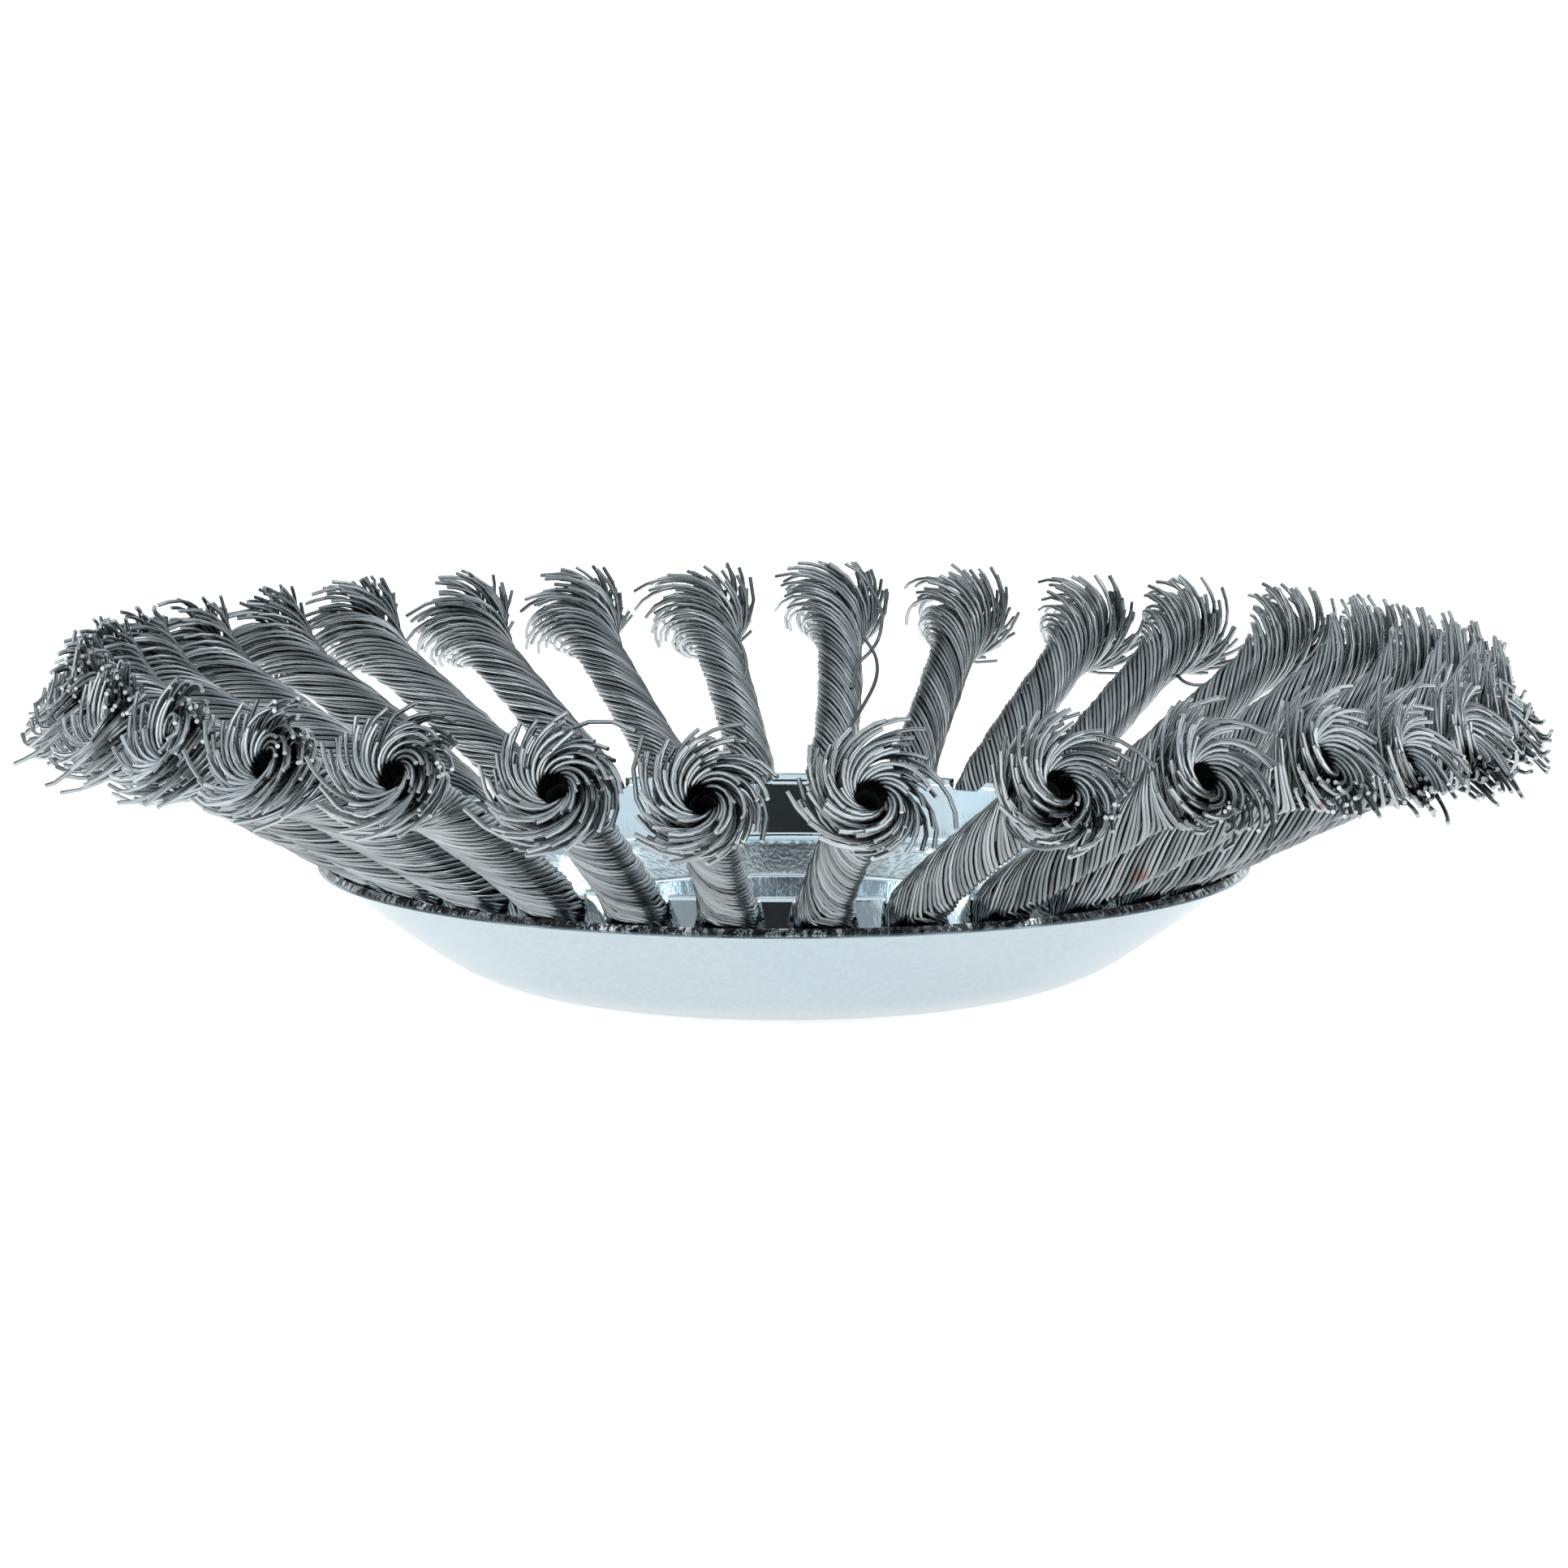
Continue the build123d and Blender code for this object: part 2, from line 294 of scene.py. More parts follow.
class Shader:
    """A node material under construction."""

    def __init__(self, name: str) -> None:
        """Starts an empty node material."""
        self.material = bpy.data.materials.new(name)
        self.material.use_nodes = True
        self.tree = self.material.node_tree
        self.tree.nodes.clear()
        self.output = self.tree.nodes.new("ShaderNodeOutputMaterial")

    def node(
        self,
        kind: str,
        settings: dict[str, Any] | None = None,
        links: dict[Any, Any] | None = None,
        output: Any = 0,
    ) -> Value:
        """Adds a node.

        Args:
            kind: the node's type name.
            settings: its properties, set before its sockets.
            links: a number, colour or Value for each input socket, by name or index.
            output: name or index of the output socket that is returned.

        Returns:
            The output socket, wrapped.
        """
        node = self.tree.nodes.new(kind)
        for key, value in (settings or {}).items():
            setattr(node, key, value)
        for key, value in (links or {}).items():
            self._connect(node.inputs[key], value)
        return Value(self, node.outputs[output])

    def _connect(self, socket: bpy.types.NodeSocket, value: Any) -> None:
        """Links a Value to an input socket, or sets the socket to a number or colour.

        Args:
            socket: the input socket.
            value: the Value, number, colour or vector.
        """
        if isinstance(value, Value):
            self.tree.links.new(value.socket, socket)
        elif isinstance(value, tuple):
            wanted = len(socket.default_value)
            socket.default_value = (*value, 1.0)[:wanted] if len(value) < wanted else value
        else:
            socket.default_value = value

    def place(self, scale: Place = (1.0, 1.0, 1.0)) -> Value:
        """Object coordinates in metres, stretched by a scale for each axis."""
        coordinates = self.node("ShaderNodeTexCoord", output="Object")
        return self.node("ShaderNodeMapping", links={"Vector": coordinates, "Scale": scale})

    def polar(self, around: float, outwards: float) -> Value:
        """Object coordinates as (angle * around, distance from the Z axis * outwards, 0).

        Args:
            around: stretch of the angle, which is in radians.
            outwards: stretch of the distance.

        Returns:
            The coordinates.
        """
        place = self.place()
        x, y = (self.node("ShaderNodeSeparateXYZ", links={0: place}, output=axis) for axis in "XY")
        angle = y.math("ARCTAN2", x)
        distance = (x * x + y * y) ** 0.5
        return self.node("ShaderNodeCombineXYZ", links={0: angle * around, 1: distance * outwards, 2: 0.0})

    def noise(self, place: Value, noise: Noise) -> Value:
        """A noise pattern between about 0.25 and 0.75."""
        links = {"Vector": place, "Scale": noise.scale, "Detail": noise.detail, "Roughness": noise.roughness}
        return self.node("ShaderNodeTexNoise", links=links)

    def near(self, place: Value, centre: Place, radius: float) -> Value:
        """A mask: 1 at a centre and 0 from a radius on.

        Args:
            place: the coordinates.
            centre: the centre, metres.
            radius: the radius, metres.

        Returns:
            The mask.
        """
        links = {0: place, 1: centre}
        distance = self.node("ShaderNodeVectorMath", {"operation": "DISTANCE"}, links, "Value")
        return (1.0 - distance / radius).clamped()

    def mark(self, name: str) -> Value:
        """A mesh attribute by name."""
        return self.node("ShaderNodeAttribute", {"attribute_name": name}, output="Fac")

    def mix(self, factor: "Value | float", a: "Value | Colour", b: "Value | Colour") -> Value:
        """A blend of two colours."""
        return self.node("ShaderNodeMix", {"data_type": "RGBA"}, {0: factor, 6: a, 7: b}, output=2)

    def bump(self, height: Value, distance: float, strength: float, normal: Value | None = None) -> Value:
        """A bump on top of another normal.

        Args:
            height: the pattern, between 0 and 1.
            distance: how high 1 stands, metres.
            strength: how strongly it shows.
            normal: the normal below, if any.

        Returns:
            The new normal.
        """
        links: dict[str, Any] = {"Height": height, "Distance": distance, "Strength": strength}
        if normal is not None:
            links["Normal"] = normal
        return self.node("ShaderNodeBump", links=links)

    def finish(self, **sockets: Any) -> bpy.types.Material:
        """Joins a Principled surface to the output.

        Args:
            sockets: values by socket name, with underscores between words.

        Returns:
            The finished material.
        """
        links = {key.replace("_", " "): value for key, value in sockets.items()}
        surface = self.node("ShaderNodeBsdfPrincipled", links=links, output="BSDF")
        self.tree.links.new(surface.socket, self.output.inputs["Surface"])
        return self.material


# Finishes


@dataclass(frozen=True)
class PlatedSheet:
    """Bright plated sheet steel: mirror-like where it was drawn, satin on flats, dark on sheared edges.
    The dark on sheared edges is a painted dark reflection, streaked with painted white highlights.

    The mesh attributes satin, sheared and drawn say where each look is, from 0 to 1. In all finishes a mask
    is an edge and a half width, a share is how strongly a pattern shows, a swing is how far it moves a value,
    and a relief is a height in metres and a strength.
    """

    name: str
    colour: Colour = (0.68, 0.78, 0.83)
    dull_colour: Colour = (0.62, 0.72, 0.77)
    satin_colour: Colour = (1.0, 0.975, 0.95)
    pepper_colour: Colour = (0.30, 0.30, 0.30)
    # near-black painted dark reflection on sheared faces
    painted_edge_shade_colour: Colour = (0.06, 0.06, 0.06)
    # painted highlight: white streaks on sheared faces, stronger in patches
    painted_glint_colour: Colour = (0.90, 0.92, 0.93)
    rust_colour: Colour = (0.22, 0.09, 0.04)
    gloss_roughness: float = 0.07
    satin_roughness: float = 0.22
    edge_roughness: float = 0.16
    cloud: Noise = Noise(55.0, 3.0)
    grain: Noise = Noise(900.0)
    painted_glint_patches: Noise = Noise(75.0)
    rust: Noise = Noise(210.0, 4.0, 0.6)
    speckle: Noise = Noise(1700.0, 1.0)
    speckle_stretch: Pair = (0.041, 0.24)
    streaks: Noise = Noise(1200.0, 3.0, 0.7)
    streak_stretch: Place = (1.0, 1.0, 0.03)
    smudge_mask: Pair = (0.56, 0.14)
    pepper_mask: Pair = (0.53, 0.02)
    scratch_mask: Pair = (0.5, 0.07)
    painted_glint_mask: Pair = (0.53, 0.04)
    painted_glint_patch_mask: Pair = (0.49, 0.05)
    rust_mask: Pair = (0.72, 0.03)
    smudge_share: float = 0.45
    pepper_share: float = 0.7
    scratch_share: float = 0.6
    painted_glint_share: float = 0.25
    rust_share: float = 0.9
    cloud_swing: float = 0.05
    grain_swing: float = 0.03
    speckle_swing: float = 0.3
    streak_swing: float = 0.35
    grain_relief: Pair = (0.00001, 0.12)
    speckle_relief: Pair = (0.00016, 0.9)
    streak_relief: Pair = (0.00007, 0.8)

    def material(self) -> bpy.types.Material:
        """Builds the material.

        Returns:
            The material.
        """
        shader = Shader(self.name)
        satin, sheared, drawn = (shader.mark(name) for name in ("satin", "sheared", "drawn"))
        place = shader.place()
        cloud, grain = shader.noise(place, self.cloud), shader.noise(place, self.grain)
        speckle = shader.noise(shader.polar(*self.speckle_stretch), self.speckle)
        streaks = shader.noise(shader.place(self.streak_stretch), self.streaks)
        # Painted highlight: white streaks on the sheared faces, strongest in patches.
        painted_glint_patches = shader.noise(place, self.painted_glint_patches).above(*self.painted_glint_patch_mask)
        painted_glints = streaks.above(*self.painted_glint_mask) * (self.painted_glint_share + painted_glint_patches * (1 - self.painted_glint_share))
        # Painted light on sheared faces: a near-black painted reflection streaked with painted white
        # highlights.
        painted_edge_light = shader.mix(painted_glints, self.painted_edge_shade_colour, self.painted_glint_colour)
        smudge = cloud.above(*self.smudge_mask) * self.smudge_share
        pepper = speckle.above(*self.pepper_mask) * satin * self.pepper_share
        scratches = streaks.above(*self.scratch_mask) * drawn * drawn * self.scratch_share
        rust = shader.noise(place, self.rust).above(*self.rust_mask) * sheared * self.rust_share
        colour = shader.mix(smudge, self.colour, self.dull_colour)
        colour = shader.mix(satin, colour, self.satin_colour)
        colour = shader.mix(pepper, colour, self.pepper_colour)
        colour = shader.mix(scratches, colour, self.pepper_colour)
        colour = shader.mix(sheared, colour, painted_edge_light)
        colour = shader.mix(rust, colour, self.rust_colour)
        roughness = self.gloss_roughness + cloud.swing(self.cloud_swing) + grain.swing(self.grain_swing)
        roughness += satin * (self.satin_roughness - self.gloss_roughness + speckle.swing(self.speckle_swing))
        roughness += drawn * streaks.swing(self.streak_swing)
        roughness += sheared * (self.edge_roughness - self.gloss_roughness)
        relief = shader.bump(grain, *self.grain_relief)
        relief = shader.bump(speckle * satin, *self.speckle_relief, relief)
        relief = shader.bump(streaks * (drawn + sheared).clamped(), *self.streak_relief, relief)
        return shader.finish(Base_Color=colour, Metallic=1.0, Roughness=roughness.clamped(), Normal=relief)


@dataclass(frozen=True)
class SpringWire:
    """Hard drawn steel wire, each with its own brightness and some painted highlight, a little oxidised and
    stained.

    The mesh attributes tone and stain hold each wire's brightness, with painted highlight
    added towards the tips and on a knot's innermost layer, and how brown it is, from 0 to 1. The spots
    of rust are a place and a radius each, in millimetres.
    """

    name: str = "spring_wire"
    dark: Colour = (0.10, 0.11, 0.115)
    light: Colour = (0.475, 0.505, 0.515)
    brown: Colour = (0.20, 0.14, 0.09)
    rust: Colour = (0.26, 0.10, 0.05)
    warm: Colour = (0.28, 0.27, 0.25)
    roughness: float = 0.19
    stained_roughness: float = 0.25
    cloud: Noise = Noise(120.0, 3.0)
    marks: Noise = Noise(1600.0, 2.0, 0.6)
    specks: Noise = Noise(260.0, 3.0, 0.6)
    grit: Noise = Noise(900.0, 3.0, 0.7)
    warm_mask: Pair = (0.56, 0.12)
    stain_mask: Pair = (0.45, 0.15)
    speck_mask: Pair = (0.735, 0.012)
    grit_mask: Pair = (0.44, 0.06)
    warm_share: float = 0.3
    speck_share: float = 0.6
    spot_strength: float = 1.7
    rust_share: float = 0.85
    cloud_swing: float = 0.5
    mark_swing: float = 0.12
    mark_relief: Pair = (0.00001, 0.15)
    rust_spots: tuple[tuple[float, float, float, float], ...] = (
        (44.4, -55.4, 20.9, 2.3), (48.5, -58.3, 23.2, 1.4), (38.7, 67.8, 33.1, 1.3),
        (88.6, -44.3, 42.3, 2.2), (39.8, -53.5, 20.8, 1.2), (33.5, -63.2, 21.0, 1.1),
        (64.4, -73.9, 32.8, 1.4), (-5.3, -72.6, 21.3, 1.0), (2.8, -62.4, 19.2, 1.0),
    )

    def material(self) -> bpy.types.Material:
        """Builds the material.

        Returns:
            The material.
        """
        shader = Shader(self.name)
        tone, stain = shader.mark("tone"), shader.mark("stain")
        place = shader.place()
        cloud, marks = shader.noise(place, self.cloud), shader.noise(place, self.marks)
        grit = shader.noise(place, self.grit).above(*self.grit_mask)
        rust = shader.noise(place, self.specks).above(*self.speck_mask) * self.speck_share
        for *spot, radius in self.rust_spots:
            near = shader.near(place, tuple(x * MM for x in spot), radius * MM)
            rust += (near * self.spot_strength).clamped() * grit
        # Each wire's own brightness and its painted highlight both come in through the attribute.
        colour = shader.mix((tone + cloud.swing(self.cloud_swing)).clamped(), self.dark, self.light)
        colour = shader.mix(cloud.above(*self.warm_mask) * self.warm_share, colour, self.warm)
        colour = shader.mix((stain * marks.above(*self.stain_mask)).clamped(), colour, self.brown)
        colour = shader.mix(rust.clamped() * self.rust_share, colour, self.rust)
        roughness = self.roughness + marks.swing(self.mark_swing) + stain * self.stained_roughness
        relief = shader.bump(marks, *self.mark_relief)
        return shader.finish(Base_Color=colour, Metallic=1.0, Roughness=roughness.clamped(), Normal=relief)


@dataclass(frozen=True)
class PaintedShadeCore:
    """Painted shade: a near-black fill for the unlit depth between a knot's wires, which also keeps light
    from passing through the bundle.
    """

    name: str = "bundle_core_painted_shade"
    colour: Colour = (0.010, 0.010, 0.011)
    shade_mottle_colour: Colour = (0.03, 0.03, 0.03)
    shade_mottle: Noise = Noise(700.0)
    roughness: float = 0.9

    def material(self) -> bpy.types.Material:
        """Builds the material.

        Returns:
            The material.
        """
        shader = Shader(self.name)
        # Painted shade: near black with a faint mottle.
        colour = shader.mix(shader.noise(shader.place(), self.shade_mottle), self.colour, self.shade_mottle_colour)
        return shader.finish(Base_Color=colour, Metallic=0.0, Roughness=self.roughness)


@dataclass(frozen=True)
class HoopSteel:
    """Plain bright hoop wire, duller in clouds."""

    name: str = "hoop_steel"
    colour: Colour = (0.42, 0.43, 0.44)
    dull: Colour = (0.26, 0.25, 0.24)
    cloud: Noise = Noise(300.0, 3.0)
    dull_mask: Pair = (0.5, 0.2)
    roughness: float = 0.35
    cloud_swing: float = 0.2

    def material(self) -> bpy.types.Material:
        """Builds the material.

        Returns:
            The material.
        """
        shader = Shader(self.name)
        cloud = shader.noise(shader.place(), self.cloud)
        colour = shader.mix(cloud.above(*self.dull_mask), self.colour, self.dull)
        roughness = self.roughness + cloud.swing(self.cloud_swing)
        return shader.finish(Base_Color=colour, Metallic=1.0, Roughness=roughness)


# Pressings


@dataclass
class OuterCup:
    """The outer saucer: a flat floor with the bore, a soft knee, a straight flank and a sheared rim."""

    bore_radius: float = 12.7
    rim_radius: float = 62.5
    knee_radius: float = 40.5
    knee_bend: float = 24.0
    flank_angle: float = math.radians(34.8)
    thickness: float = 1.3
    rim_corner: float = 0.2
    burr_corner: float = 0.12
    bore_corner: float = 0.2
    seam_setback: float = 6.0
    arc_step: float = 6.0
    columns: int = 384
    rim_slack: float = 0.02
    rim_band: float = 0.35
    bore_band: float = 0.05
    bore_shear: float = 0.5
    flank_fade: float = 2.0
    flank_streaks: float = 0.35
    floor_satin: float = 0.25
    plating: PlatedSheet = PlatedSheet(
        "cup_plating", colour=(0.64, 0.71, 0.74), dull_colour=(0.61, 0.685, 0.72), rust_mask=(0.70, 0.03)
    )

    def __post_init__(self) -> None:
        """Works out the rim from the flank's angle."""
        self.rim_height = (self.rim_radius - self.knee_radius) * math.tan(self.flank_angle)
        self.edge_radius = self.rim_radius - self.thickness * math.sin(self.flank_angle)
        self.edge_height = self.rim_height + self.thickness * math.cos(self.flank_angle)

    def inside_height(self, radius: float | np.ndarray) -> float | np.ndarray:
        """Height of the inner flank at a radius: the outer flank's and the sheet's thickness along z."""
        outer = (radius - self.knee_radius) * math.tan(self.flank_angle)
        return outer + self.thickness / math.cos(self.flank_angle)

    def profile(self) -> np.ndarray:
        """The closed outline of the sheet, with every corner rounded.

        Returns:
            Its points in radius and height.
        """
        inner_knee = self.knee_radius - self.thickness * math.tan(self.flank_angle / 2)
        inner_bend = self.knee_bend - self.thickness
        seam = (self.bore_radius + self.seam_setback, 0.0)
        corners = [
            seam,
            (self.knee_radius, 0.0),
            (self.rim_radius, self.rim_height),
            (self.edge_radius, self.edge_height),
            (inner_knee, self.thickness),
            (self.bore_radius, self.thickness),
            (self.bore_radius, 0.0),
            seam,
        ]
        radii = [self.knee_bend, self.rim_corner, self.burr_corner, inner_bend, *[self.bore_corner] * 2]
        return rounded_line(corners, radii, self.arc_step)[:-1]

    def build(self) -> bpy.types.Object:
        """The cup's mesh: the outline turned about the Z axis, with its sheared rim and bore marked.

        Returns:
            The cup.
        """
        profile = self.profile()
        radius, height = profile[:, :1], profile[:, 1:]
        angles = np.arange(self.columns) * (math.tau / self.columns)
        along = (radius - self.edge_radius) / (self.rim_radius - self.edge_radius)
        chord = self.edge_height + (self.rim_height - self.edge_height) * along
        rim = (radius > self.edge_radius - self.rim_slack) & (np.abs(height - chord) < self.rim_band)
        # The sheared mark on the rim and bore also places the plating's painted near-black reflection and
        # painted highlight streaks, as well as rust.
        sheared = np.where(radius < self.bore_radius + self.bore_band, self.bore_shear, rim)
        flank = smoothstep(self.thickness, self.thickness + self.flank_fade, height)
        mesh = Patchwork()
        grid = mesh.add(
            ring_points(radius, angles, height),
            sheared=sheared,
            drawn=self.flank_streaks * flank * (1 - sheared),
            satin=self.floor_satin * (1 - flank) * (1 - sheared),
        )
        mesh.faces.append(quads_of(closed(np.concatenate([grid, grid[:1]]))))
        piece = mesh.build("cup_sheet")
        weld(piece)
        piece.data.materials.append(self.plating.material())
        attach(piece, BODY)
        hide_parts("outer_cup")
        return piece


class Side(Enum):
    """The two skins of a sheet."""

    UPPER = 0
    LOWER = 1


@dataclass
class InnerPlate:
    """The inner pressing: hub floor, well, satin shelf, upright wall, crest and an outer wall of fingers.

    Its mesh has two skins on one grid. Along the profile a row is a distance u from the bore; round the brush
    a column belongs to a finger or to a slot. The slot's columns end at the dip's outline, and the finger's
    go on over the crest down to the cup.
    """

    cup: OuterCup
    fingers: int = 32
    thickness: float = 0.8
    well_floor_radius: float = 28.98
    well_top_radius: float = 29.98
    well_top_height: float = 8.4
    shelf_outer_radius: float = 52.0
    shelf_outer_height: float = 10.1
    crest_inner_radius: float = 54.0
    crest_width: float = 2.7
    crest_height: float = 19.2
    crest_slack: float = 0.02
    finger_angle: float = math.radians(60)
    bends: tuple[float, ...] = (0.8, 0.35, 1.2, 1.5, 0.8)
    arc_step: float = 11.0
    finger_crest_width: float = 4.9
    finger_foot_width: float = 2.7
    taper_power: float = 1.25
    dip_depth: float = 1.3
    dip_corner: float = 1.5
    edge_band: float = 0.17
    edge_roll: float = 0.16
    edge_round: float = 0.04
    seat_gap: float = 0.1
    shelf_rows: tuple[float, ...] = (31.4, 34.0, 38.0, 42.0, 46.0, 50.0)
    bore_row: float = 0.25
    row_gap: float = 0.05
    dip_margin: float = 0.5
    crest_margin: float = 0.8
    slot_columns: int = 12
    dip_rows: int = 4
    crest_rows: int = 11
    foot_rows: int = 6
    cut_shear: float = 0.6
    satin_start: Pair = (0.3, 1.2)
    satin_end: Pair = (-1.6, -0.8)
    well_band: float = 1.2
    well_margin: float = 0.4
    wall_streaks: float = 0.25
    plating: PlatedSheet = PlatedSheet("plate_plating")

    def __post_init__(self) -> None:
        """Works out the skin's profile, its distance u and its normals."""
        floor_height = self.cup.thickness + self.thickness
        crest_corner = np.array([self.crest_inner_radius + self.crest_width, self.crest_height])
        down = np.array([math.cos(self.finger_angle), -math.sin(self.finger_angle)])
        normal = np.array([-math.sin(self.cup.flank_angle), math.cos(self.cup.flank_angle)])
        seat = np.array([self.cup.rim_radius, self.cup.inside_height(self.cup.rim_radius) + self.seat_gap])
        reach = (seat - crest_corner) @ normal / (down @ normal)
        corners = [
            (self.cup.bore_radius, floor_height),
            (self.well_floor_radius, floor_height),
            (self.well_top_radius, self.well_top_height),
            (self.shelf_outer_radius, self.shelf_outer_height),
            (self.crest_inner_radius, self.crest_height),
            tuple(crest_corner),
            tuple(crest_corner + down * reach),
        ]
        skin = rounded_line(corners, self.bends, self.arc_step)
        shelf = np.array([[r, np.interp(r, skin[:, 0], skin[:, 1])] for r in self.shelf_rows])
        place = int(np.searchsorted(skin[:, 0], self.shelf_rows[0]))
        self.skin = np.insert(skin, place, shelf, axis=0)
        steps = np.linalg.norm(np.diff(self.skin, axis=0), axis=1)
        self.u = np.concatenate([[0.0], np.cumsum(steps)])
        along = unit(np.gradient(self.skin, self.u, axis=0))
        self.normals = np.stack([-along[:, 1], along[:, 0]], -1)
        wall = (self.skin[:, 0] > self.shelf_outer_radius) & (self.u < self.u[np.argmax(self.skin[:, 1])])
        dip_height = self.crest_height - self.dip_depth
        self.u_low = float(np.interp(dip_height, self.skin[wall, 1], self.u[wall]))
        self.u_corner = self.u_low + self.dip_corner
        self.u_start = self.u_low - self.dip_margin
        crest = np.flatnonzero(self.skin[:, 1] > self.crest_height - self.crest_slack)
        self.u_taper = float(self.u[crest[-1]])
        self.u_crest_end = self.u_taper + self.crest_margin
        self.pitch = math.tau / self.fingers

    def skin_at(self, u: float | np.ndarray) -> tuple[np.ndarray, np.ndarray]:
        """Radius and height of the upper skin at distances u."""
        return np.interp(u, self.u, self.skin[:, 0]), np.interp(u, self.u, self.skin[:, 1])

    def finger_width(self, u: float | np.ndarray) -> np.ndarray:
        """Width of a finger: full at the crest, then less by a power of the share left.

        Args:
            u: distance along the profile.

        Returns:
            The width, millimetres.
        """
        left = 1 - np.clip((u - self.u_taper) / (self.u[-1] - self.u_taper), 0, 1)
        taper = self.finger_crest_width - self.finger_foot_width
        return self.finger_foot_width + taper * left**self.taper_power

    def half_angle(self, u: np.ndarray) -> np.ndarray:
        """Half of the angle that a finger takes up at each u, one row each, and the same before the slots."""
        u = np.maximum(u, self.u_start)[:, None]
        return self.finger_width(u) / (2 * self.skin_at(u)[0])

    def surface(self, u: np.ndarray, angle: np.ndarray, side: Side, rolled: float | np.ndarray) -> np.ndarray:
        """Points of a skin.

        Args:
            u: distance along the profile.
            angle: angle round the brush, radians.
            side: the lower skin is moved in by the thickness, and never into the cup.
            rolled: how far the upper skin is rolled down towards a cut edge, millimetres.

        Returns:
            The points.
        """
        inset = rolled if side is Side.UPPER else self.thickness
        radius, height = self.skin_at(u)
        radius = radius - inset * np.interp(u, self.u, self.normals[:, 0])
        height = height - inset * np.interp(u, self.u, self.normals[:, 1])
        if side is Side.LOWER:
            lowest = np.maximum(self.cup.thickness, self.cup.inside_height(radius)) + self.seat_gap / 2
            height = np.where(radius < self.cup.knee_radius, height, np.maximum(height, lowest))
        return ring_points(radius, angle, height)

    def looks(self, u: np.ndarray, edge: float | np.ndarray) -> dict[str, np.ndarray]:
        """Marks of points: satin on the shelf, drawn on the walls and sheared at cut edges.

        Args:
            u: distance along the profile.
            edge: how far a point is sheared, from 0 to 1.

        Returns:
            The values by mesh attribute.
        """
        radius, height = self.skin_at(u)
        inside = smoothstep(*self.satin_start, radius - self.well_top_radius)
        outside = 1 - smoothstep(*self.satin_end, radius - self.shelf_outer_radius)
        from_well = np.abs(radius - (self.well_floor_radius + self.well_top_radius) / 2)
        well = (from_well < self.well_band) & (height < self.well_top_height - self.well_margin)
        drawn = well + self.wall_streaks * (radius > self.shelf_outer_radius)
        return {"satin": inside * outside * (1 - edge), "drawn": drawn * (1 - edge), "sheared": edge}

    def columns(self) -> tuple[np.ndarray, np.ndarray]:
        """Where the columns of one pitch are.

        Returns:
            Shares of a finger's half width from -1 to 1, and shares of a slot's width from 0 to 1, closer
            together at the slot's corners.
        """
        band = 1 - 2 * self.edge_band / self.finger_foot_width
        flat = band - self.edge_round
        slot = (1 - np.cos(np.linspace(0, math.pi, self.slot_columns + 1))) / 2
        return np.array([-1, -band, -flat, 0, flat, band, 1]), slot

    def dip_u(self, slot: np.ndarray, rows: np.ndarray) -> np.ndarray:
        """Distances u of the points of one dip.

        The cut's outline is level in the middle and rises to the finger's edge by a quarter circle:
        u = u_low + R - sqrt(R^2 - (R - s)^2) for a distance s < R from the finger.

        Args:
            slot: shares of the slot's width.
            rows: distances u of the finger's rows beside the dip.

        Returns:
            A row for each of the finger's rows and a column for each share.
        """
        width = self.pitch * self.skin_at(self.u_low)[0] - self.finger_width(self.u_low)
        left = np.maximum(self.dip_corner - np.minimum(slot, 1 - slot) * width, 0)
        ends = self.u_low + self.dip_corner - np.sqrt(self.dip_corner**2 - left**2)
        share = (rows - rows[0]) / (rows[-1] - rows[0])
        return self.u_start + (ends - self.u_start) * share[:, None]

    def build(self) -> bpy.types.Object:
        """The plate's mesh: a ring of sectors, each with a floor part, a finger and a dip, on both skins.

        Returns:
            The plate.
        """
        finger, slot = self.columns()
        turns = -math.pi / 2 + np.arange(self.fingers) * self.pitch
        middle_u = self.u[(self.u > 0) & (self.u < self.u_start - self.row_gap)]
        floor_u = np.concatenate([[0.0, self.bore_row], middle_u, [self.u_start]])
        cut_u = np.linspace(self.u_start, self.u_corner, self.dip_rows + 1)
        crest_u = np.linspace(self.u_corner, self.u_crest_end, self.crest_rows + 1)[1:]
        foot_u = np.linspace(self.u_crest_end, self.u[-1], self.foot_rows + 1)[1:]
        finger_u = np.concatenate([cut_u, crest_u, foot_u])

        half = self.half_angle(floor_u)
        sector = np.concatenate([finger[:-1] * half, half + slot[:-1] * (self.pitch - 2 * half)], axis=1)
        floor_angle = (turns[:, None] + sector[:, None]).reshape(len(floor_u), -1)
        bore = np.zeros_like(floor_angle)
        bore[0] = 1.0
        finger_angle = turns[:, None, None] + finger * self.half_angle(finger_u)
        rolled = np.zeros_like(finger_angle[0])
        rolled[:, [0, -1]] = self.edge_roll * smoothstep(self.u_corner, self.u_crest_end, finger_u)[:, None]
        half = self.half_angle(cut_u)
        dip_angle = turns[:, None, None] + half + slot * (self.pitch - 2 * half)
        # The cut edges take 0.6 of the sheared look: a painted near-black reflection with painted highlight
        # streaks, and rust.
        cut = np.zeros_like(dip_angle[0])
        cut[-1] = self.cut_shear

        parts = [
            (floor_u[:, None], floor_angle, bore, 0.0),
            (finger_u[:, None], finger_angle, 0.0, rolled),
            (self.dip_u(slot, cut_u), dip_angle, cut, 0.0),
        ]
        mesh = Patchwork()
        skins = [
            [
                mesh.add(self.surface(u, angle, side, roll), **self.looks(u, edge))
                for u, angle, edge, roll in parts
            ]
            for side in Side
        ]
        for side, (floor, *others) in zip(Side, skins):
            for quads in map(quads_of, (closed(floor), *others)):
                mesh.faces.append(quads[:, ::-1] if side is Side.UPPER else quads)

